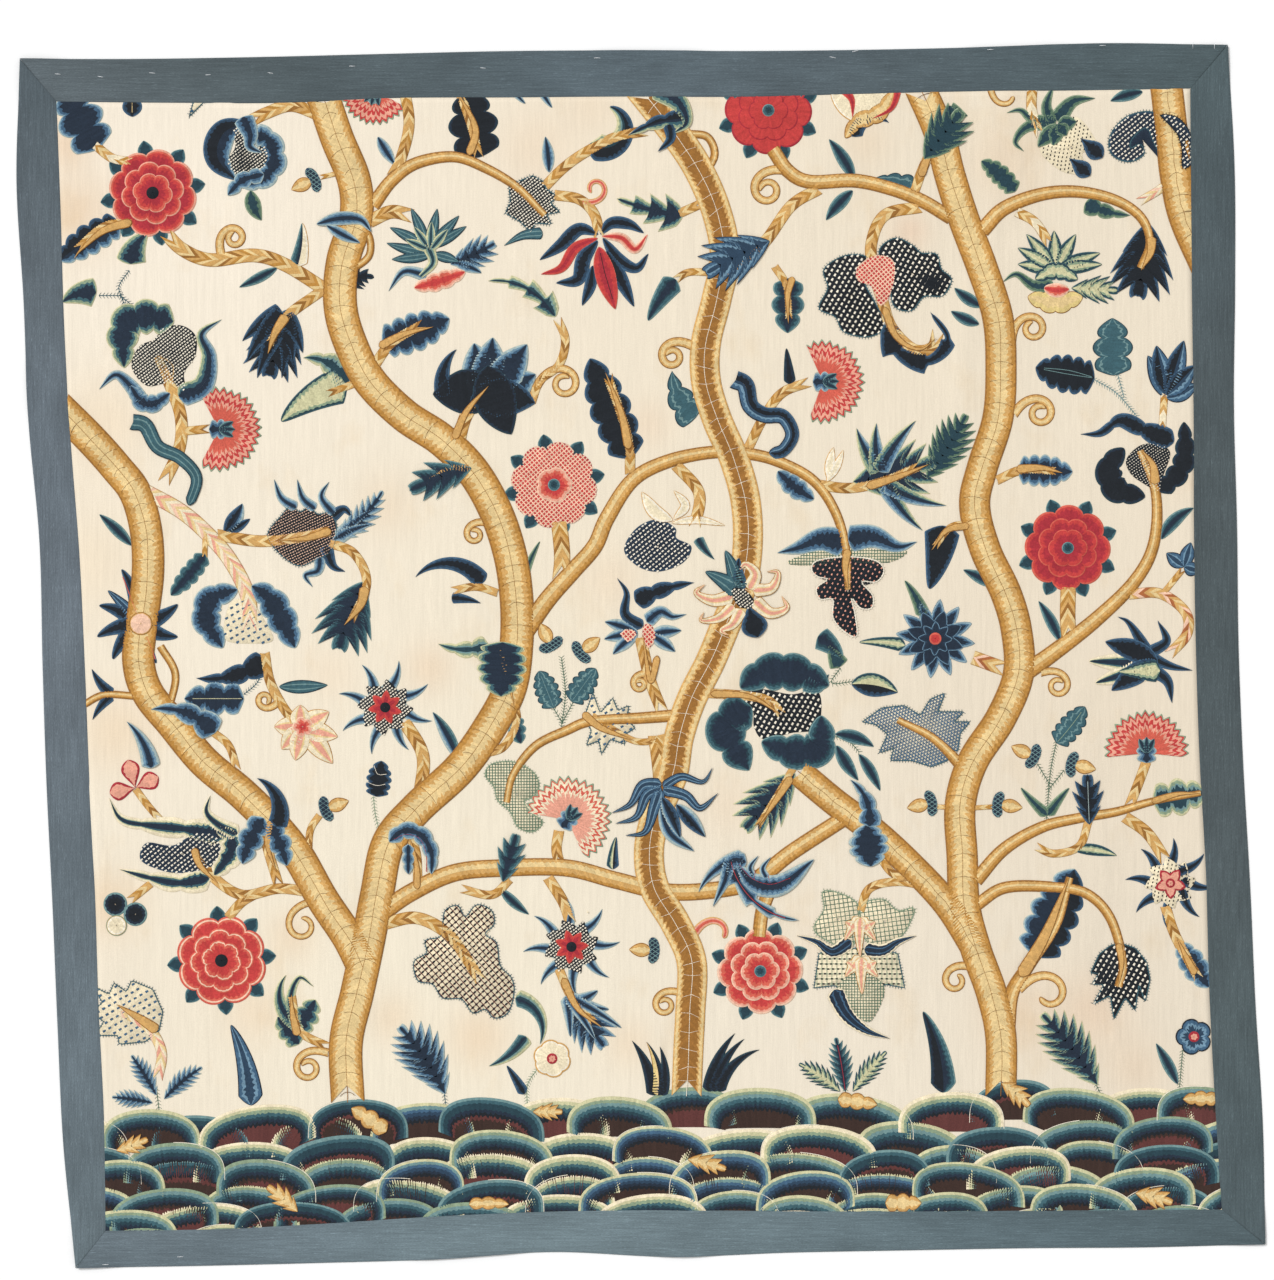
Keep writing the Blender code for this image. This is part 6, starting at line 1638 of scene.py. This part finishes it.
def make_ground():
    """The cream cloth: the patch between the four seams, with its creases and its own upright seam."""
    along = np.linspace(0, 1, 195)
    seam_u = (SEAM_X - SEAM_CORNERS["bottom_left"][0]) / 1.787
    u = np.unique(np.concatenate([along, seam_u + np.linspace(-0.004, 0.004, 9)]))
    v = np.linspace(0, 1, 191)
    low, high = (edge_points(SEAM_CORNERS, SEAM_STRAY_MM, side, u) for side in ("bottom", "top"))
    left, right = (edge_points(SEAM_CORNERS, SEAM_STRAY_MM, side, v) for side in ("left", "right"))
    corner = {name: np.array(place) for name, place in SEAM_CORNERS.items()}
    us, vs = u[None, :, None], v[:, None, None]
    rows = (1 - vs) * low[None] + vs * high[None]
    columns = (1 - us) * left[:, None] + us * right[:, None]
    corners = (1 - vs) * ((1 - us) * corner["bottom_left"] + us * corner["bottom_right"]) + vs * (
        (1 - us) * corner["top_left"] + us * corner["top_right"])
    plan = rows + columns - corners
    flat = plan.reshape(-1, 2)
    lift = ridge_height(flat, RIDGES)
    top = cloth_height(flat) + GROUND_THICKNESS
    beside = np.abs(flat[:, 0] - SEAM_X) / (2.5 * MM)
    low_part = np.clip((-0.27 - flat[:, 1]) / 0.03, 0, 1)
    groove = np.clip(1 - beside, 0, 1) * low_part
    # along the upright seam's groove the cloth is a tenth darker: partly the seam's dark line, partly painted shade in
    # the groove
    tint = ground_tint(flat) * (1 - 0.10 * groove)[:, None]
    shape = plan.shape[:2]
    made = slab("ground_cloth", plan, lift.reshape(shape), (top - 0.5 * MM * groove).reshape(shape),
                GROUND_FINISH, tint)
    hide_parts("ground")
    return made


BORDER_COLOUR_AND_PAINTED_LIGHT = {
    # side: sRGB colours at even steps along the strip: the cloth's own blue grey with painted light, the bottom and
    # left strips lighter and the top and right strips darker
    "top": ("#5b656a", "#505b5f", "#4f5b60", "#56636a", "#525e64", "#4d5a5f", "#4c5a5e"),
    "bottom": ("#5f6b72", "#65737a", "#6a7a80", "#69797f", "#607076", "#55656b", "#4f5e63"),
    "left": ("#5f6c72", "#626e75", "#5f6a71", "#656f77", "#616b73", "#5b656c", "#4f5a60"),
    "right": ("#4b585c", "#4d595c", "#4c5659", "#4a5457", "#4b5558", "#4a5559", "#4c5a5e"),
}
OVERLAP = 1.2 * MM  # how far the border laps over the ground


def make_border(side):
    """One strip of ribbed cloth, folded under at its outer edge and mitred at both ends."""
    first, second, outward = SIDES[side]
    length = np.linalg.norm(np.array(OUTER_CORNERS[second]) - np.array(OUTER_CORNERS[first]))
    ends = np.array([0.0, 0.8, 1.8, 3.2]) * MM / length
    u = np.concatenate([ends, np.linspace(0.006, 0.994, 230), 1 - ends[::-1]])
    trim = 0.2 * MM / length
    t = trim + (1 - 2 * trim) * u
    v = np.array([0, 0.008, 0.02, 0.05, 0.12, 0.22, 0.34, 0.46, 0.58, 0.70, 0.82, 0.90, 0.95, 0.98, 0.993, 1])
    inner = edge_points(SEAM_CORNERS, SEAM_STRAY_MM, side, t) - np.array(outward) * OVERLAP
    outer = edge_points(OUTER_CORNERS, OUTER_STRAY_MM, side, t)
    plan = (1 - v[:, None, None]) * inner[None] + v[:, None, None] * outer[None]
    flat = plan.reshape(-1, 2)
    seam, middle, fold = BORDER_SECTION[side]
    section = smooth_values((seam + 0.12, (seam + middle) / 2 + 0.06, middle, (middle + fold) / 2 + 0.05, fold), v)
    edge = np.minimum(v / 0.035, (1 - v) / 0.035)
    section = section * (0.45 + 0.55 * np.sqrt(np.clip(1 - (1 - np.clip(edge, 0, 1)) ** 2, 0, 1)))
    near_end = np.clip(np.minimum(u, 1 - u) * length / (3.0 * MM), 0, 1)
    thick = BORDER_THICKNESS * section[:, None] * (0.62 + 0.38 * np.sqrt(near_end))[None]
    waves = 0.10 * MM * np.sin(u * 61 + 3 * v[:, None]) * np.sin(u * 23 + 1.7) * np.sin(np.pi * v)[:, None]
    lift = ridge_height(flat, RIDGES).reshape(plan.shape[:2])
    # painted light: each strip's blue grey, lighter at the bottom and left, darker at the top and right
    strip_colour_and_light = smooth_values(np.array([linear(code) for code in BORDER_COLOUR_AND_PAINTED_LIGHT[side]]), u)
    # painted shade: the strip a fifth darker at its mitred ends, fading within 3 mm, where the seam's groove lies; and
    # up to 5 per cent lighter across its middle
    mitre_shade_and_lighter_middle = 1 + 0.05 * np.sin(np.pi * v)[:, None, None] - 0.20 * (1 - near_end)[None, :, None]
    made = slab("border_strip_" + side, plan, lift, lift + thick + waves, BORDER_FINISH[side],
                strip_colour_and_light[None] * mitre_shade_and_lighter_middle)
    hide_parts("border_" + side)
    return made


STAPLES = (
    # x, y, heading: where white fastening marks show in the border
    (-93.4, 93.0, -6), (-86.6, 92.6, -8), (-78.3, 93.2, -5), (-69.4, 92.9, 3), (-59.4, 93.2, -8), (-46.3, 94.3, 0),
    (-25.4, 94.0, -4), (-7.1, 95.6, 0), (34.2, 96.7, 12), (30.6, 95.7, -12), (55.8, 96.9, 2), (73.8, 97.6, 0),
    (88.2, 97.6, 90), (91.6, 97.5, 90), (-85.7, -97.4, 0), (-73.8, -96.2, 2),
)
STAPLE_LENGTH = 9.0 * MM
STAPLE_WIRE = 0.45 * MM


def make_staples():
    """Thin wire staples, each one a crown with two legs that run down into the border."""
    plans, faces, count = [], [], 0
    turns = np.linspace(0, 2 * np.pi, 7)[:-1]
    for x, y, heading in STAPLES:
        turn = math.radians(heading)
        along = np.array([math.cos(turn), math.sin(turn), 0.0])
        across = np.array([-along[1], along[0], 0.0])
        centre = np.array([x * CM - MIDDLE[0], y * CM - MIDDLE[1], 0.0])
        surface_z = ridge_height(np.array([[x * CM, y * CM]]), RIDGES)[0] + BORDER_THICKNESS * 0.92
        path = ((-0.5, -1.2, 0), (-0.5, 0.1, 0), (-0.46, 0.35, 1), (0.46, 0.35, 1), (0.5, 0.1, 0), (0.5, -1.2, 0))
        for share, height, flat_part in path:
            middle = centre + along * share * STAPLE_LENGTH + (0, 0, surface_z + height * MM)
            up = np.array([0, 0, 1.0]) if flat_part else along
            circle = np.outer(np.cos(turns), across) + np.outer(np.sin(turns), up)
            plans.append(middle + circle * STAPLE_WIRE)
        for step in range(5):
            a = count + step * 6 + np.arange(6)
            b = count + step * 6 + np.roll(np.arange(6), -1)
            faces.append(np.stack([a, b, b + 6, a + 6], -1))
        count += 36
    made = surface("staples", np.concatenate(plans), np.concatenate(faces), STAPLE_FINISH)
    return made


class Finish:
    """A material, with short ways to add and link its nodes."""

    def __init__(self, name, **values):
        self.material = bpy.data.materials.new(name)
        self.material.use_nodes = True
        self.tree = self.material.node_tree
        self.shader = self.tree.nodes["Principled BSDF"]
        self.set(self.shader, values)

    def set(self, node, values):
        for socket, value in values.items():
            node.inputs[socket.replace("_", " ")].default_value = value

    def node(self, kind, settings=(), **values):
        made = self.tree.nodes.new("ShaderNode" + kind)
        for key, value in dict(settings).items():
            setattr(made, key, value)
        self.set(made, values)
        return made

    def link(self, source, output, target, socket):
        self.tree.links.new(source.outputs[output], target.inputs[socket])

    def noise(self, stretch, scale, detail=2.0, coordinates="Object", roughness=0.5):
        """Noise over the piece's own metres, stretched by three numbers."""
        if coordinates == "Object":
            place = self.node("TexCoord")
        else:
            place = self.node("UVMap", {"uv_map": coordinates})
        mapping = self.node("Mapping", Scale=stretch)
        made = self.node("TexNoise", Scale=scale, Detail=detail, Roughness=roughness)
        self.link(place, "Object" if coordinates == "Object" else "UV", mapping, "Vector")
        self.link(mapping, "Vector", made, "Vector")
        return made

    def spread(self, source, output, low, high, start=0.0, end=1.0):
        """A value moved from one range to another."""
        made = self.node("MapRange", From_Min=start, From_Max=end, To_Min=low, To_Max=high)
        self.link(source, output, made, "Value")
        return made

    def times(self, first, first_output, second, second_output="Result"):
        """A colour multiplied by a value."""
        made = self.node("VectorMath", {"operation": "SCALE"})
        self.link(first, first_output, made, 0)
        self.link(second, second_output, made, "Scale")
        return made

    def bump(self, source, output, distance, strength=1.0, after=None):
        made = self.node("Bump", Strength=strength, Distance=distance)
        self.link(source, output, made, "Height")
        if after:
            self.link(after, "Normal", made, "Normal")
        return made

    def colour(self, source, output="Vector"):
        self.link(source, output, self.shader, "Base Color")

    def relief(self, bump):
        self.link(bump, "Normal", self.shader, "Normal")


def wool_finish():
    finish = Finish("wool_stitches", Roughness=0.88, Sheen_Weight=0.12, Sheen_Roughness=0.5, Specular_IOR_Level=0.25)
    thread = finish.node("Attribute", {"attribute_name": "thread"})
    fibres = finish.noise((1, 1, 1), 420, 3.0)
    patches = finish.noise((1, 1, 1), 26, 2.0)
    fine = finish.spread(fibres, "Fac", 0.80, 1.20, 0.25, 0.75)
    broad = finish.spread(patches, "Fac", 0.93, 1.07, 0.25, 0.75)
    toned = finish.times(thread, "Color", fine)
    finish.colour(finish.times(toned, "Vector", broad))
    finish.relief(finish.bump(fibres, "Fac", 0.35 * MM, 0.6))
    return finish.material


def ground_finish():
    finish = Finish("cream_twill", Roughness=0.92, Sheen_Weight=0.08, Specular_IOR_Level=0.2)
    thread = finish.node("Attribute", {"attribute_name": "thread"})
    streaks = finish.noise((30, 1.6, 1), 6.0, 3.0)
    slubs = finish.noise((260, 12, 1), 2.4, 2.0)
    blotches = finish.noise((1, 0.7, 1), 9.0, 4.0, roughness=0.6)
    weave = finish.noise((1, 1, 1), 620, 1.0)
    tone = finish.times(thread, "Color", finish.spread(streaks, "Fac", 0.965, 1.03, 0.3, 0.7))
    tone = finish.times(tone, "Vector", finish.spread(slubs, "Fac", 0.97, 1.03, 0.3, 0.7))
    tone = finish.times(tone, "Vector", finish.spread(weave, "Fac", 0.95, 1.05, 0.25, 0.75))
    stain = finish.node("Mix", {"data_type": "RGBA", "blend_type": "MULTIPLY"})
    stain.inputs["B"].default_value = (0.90, 0.80, 0.66, 1.0)
    finish.link(tone, "Vector", stain, "A")
    finish.link(finish.spread(blotches, "Fac", 0.0, 0.55, 0.56, 0.80), "Result", stain, "Factor")
    finish.colour(stain, "Result")
    coarse = finish.bump(streaks, "Fac", 0.8 * MM, 0.5)
    finish.relief(finish.bump(weave, "Fac", 0.3 * MM, 0.5, after=coarse))
    return finish.material


def border_finish(side):
    """Ribs and pale flecks run the way the strip runs."""
    finish = Finish("ribbed_cloth_" + side, Roughness=0.84, Sheen_Weight=0.10, Specular_IOR_Level=0.25)
    lengthwise = side in ("top", "bottom")

    def stretch(along, across):
        return (along, across, 1) if lengthwise else (across, along, 1)

    thread = finish.node("Attribute", {"attribute_name": "thread"})
    ribs = finish.noise(stretch(2.0, 46), 8.0, 3.0, roughness=0.6)
    flecks = finish.noise(stretch(14, 170), 5.0, 2.0)
    clouds = finish.noise(stretch(1.0, 2.5), 7.0, 3.0)
    fine = finish.noise(stretch(60, 200), 5.0, 1.0)
    tone = finish.times(thread, "Color", finish.spread(ribs, "Fac", 0.84, 1.16, 0.3, 0.7))
    tone = finish.times(tone, "Vector", finish.spread(clouds, "Fac", 0.88, 1.12, 0.3, 0.7))
    tone = finish.times(tone, "Vector", finish.spread(fine, "Fac", 0.86, 1.14, 0.3, 0.7))
    tone = finish.times(tone, "Vector", finish.spread(flecks, "Fac", 1.0, 1.75, 0.60, 0.78))
    finish.colour(tone)
    rough = finish.bump(ribs, "Fac", 1.2 * MM, 0.6)
    finish.relief(finish.bump(flecks, "Fac", 0.5 * MM, 0.5, after=rough))
    return finish.material


def staple_finish():
    finish = Finish("staple_wire", Base_Color=(0.80, 0.82, 0.84, 1.0), Metallic=0.6)
    wear = finish.noise((1, 1, 1), 900, 2.0)
    finish.link(finish.spread(wear, "Fac", 0.35, 0.6, 0.3, 0.7), "Result", finish.shader, "Roughness")
    return finish.material


def floor_finish():
    finish = Finish("plain_floor", Roughness=1.0, Specular_IOR_Level=0.0)
    grain = finish.noise((1, 1, 1), 2.0, 1.0)
    shade = finish.spread(grain, "Fac", 0.985, 1.0, 0.3, 0.7)
    white = finish.node("RGB")
    white.outputs[0].default_value = (0.97, 0.97, 0.97, 1.0)
    finish.colour(finish.times(white, "Color", shade))
    return finish.material


WOOL_FINISH = wool_finish()
GROUND_FINISH = ground_finish()
BORDER_FINISH = {side: border_finish(side) for side in SIDES}
STAPLE_FINISH = staple_finish()

# What the photo shows: its size in pixels, the size of one pixel on the panel, and where its middle lies.
PHOTO = (1274, 1280)
PIXEL = 1.6 * MM
VIEW_MIDDLE = np.array((-0.0072, 0.0248))
LENS_MM = 85.0
SENSOR_MM = 36.0


def set_camera():
    scene = bpy.context.scene
    lens = bpy.data.cameras.new("camera")
    lens.lens = LENS_MM
    lens.sensor_width = SENSOR_MM
    lens.sensor_fit = "AUTO"
    lens.clip_end = 50.0
    eye = bpy.data.objects.new("camera", lens)
    place = VIEW_MIDDLE - MIDDLE
    eye.location = (place[0], place[1], max(PHOTO) * PIXEL * LENS_MM / SENSOR_MM + 3 * MM)
    scene.collection.objects.link(eye)
    scene.camera = eye


def set_stage():
    scene = bpy.context.scene
    world = bpy.data.worlds.new("studio")
    world.use_nodes = True
    background = world.node_tree.nodes["Background"]
    background.inputs["Color"].default_value = (1.0, 1.0, 1.0, 1.0)
    background.inputs["Strength"].default_value = 0.62
    scene.world = world
    lamp = bpy.data.lights.new("studio_light", "SUN")
    lamp.energy = 1.9
    lamp.angle = math.radians(14)
    light = bpy.data.objects.new("studio_light", lamp)
    light.rotation_euler = (math.radians(-26), math.radians(-34), 0.0)
    scene.collection.objects.link(light)
    scene.view_settings.view_transform = "Standard"
    scene.view_settings.look = "None"
    mesh = bpy.data.meshes.new("floor")
    mesh.from_pydata([(-6, -6, 0), (6, -6, 0), (6, 6, 0), (-6, 6, 0)], [], [(0, 1, 2, 3)])
    mesh.materials.append(floor_finish())
    floor = bpy.data.objects.new("floor", mesh)
    floor.location.z = -0.0005
    scene.collection.objects.link(floor)


def work_trunks():
    for row in TRUNKS:
        trunk(*row)


set_camera()
set_stage()
work_trunks()
work_stems()
work_leaves()
work_flowers()
hillocks()

stitching = [work.make() for work in Needlework.pieces.values() if work.plans]
ground = make_ground()
borders = {side: make_border(side) for side in SIDES}
staples = make_staples()

for piece in stitching + [ground, staples] + list(borders.values()):
    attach(piece, "root")

for piece in stitching:
    triangles = 2 * len(piece.data.polygons)
    if triangles > 190_000:
        print("heavy piece", piece.name, triangles)
print("triangles", sum(2 * len(piece.data.polygons) for piece in stitching), "pieces", len(stitching))
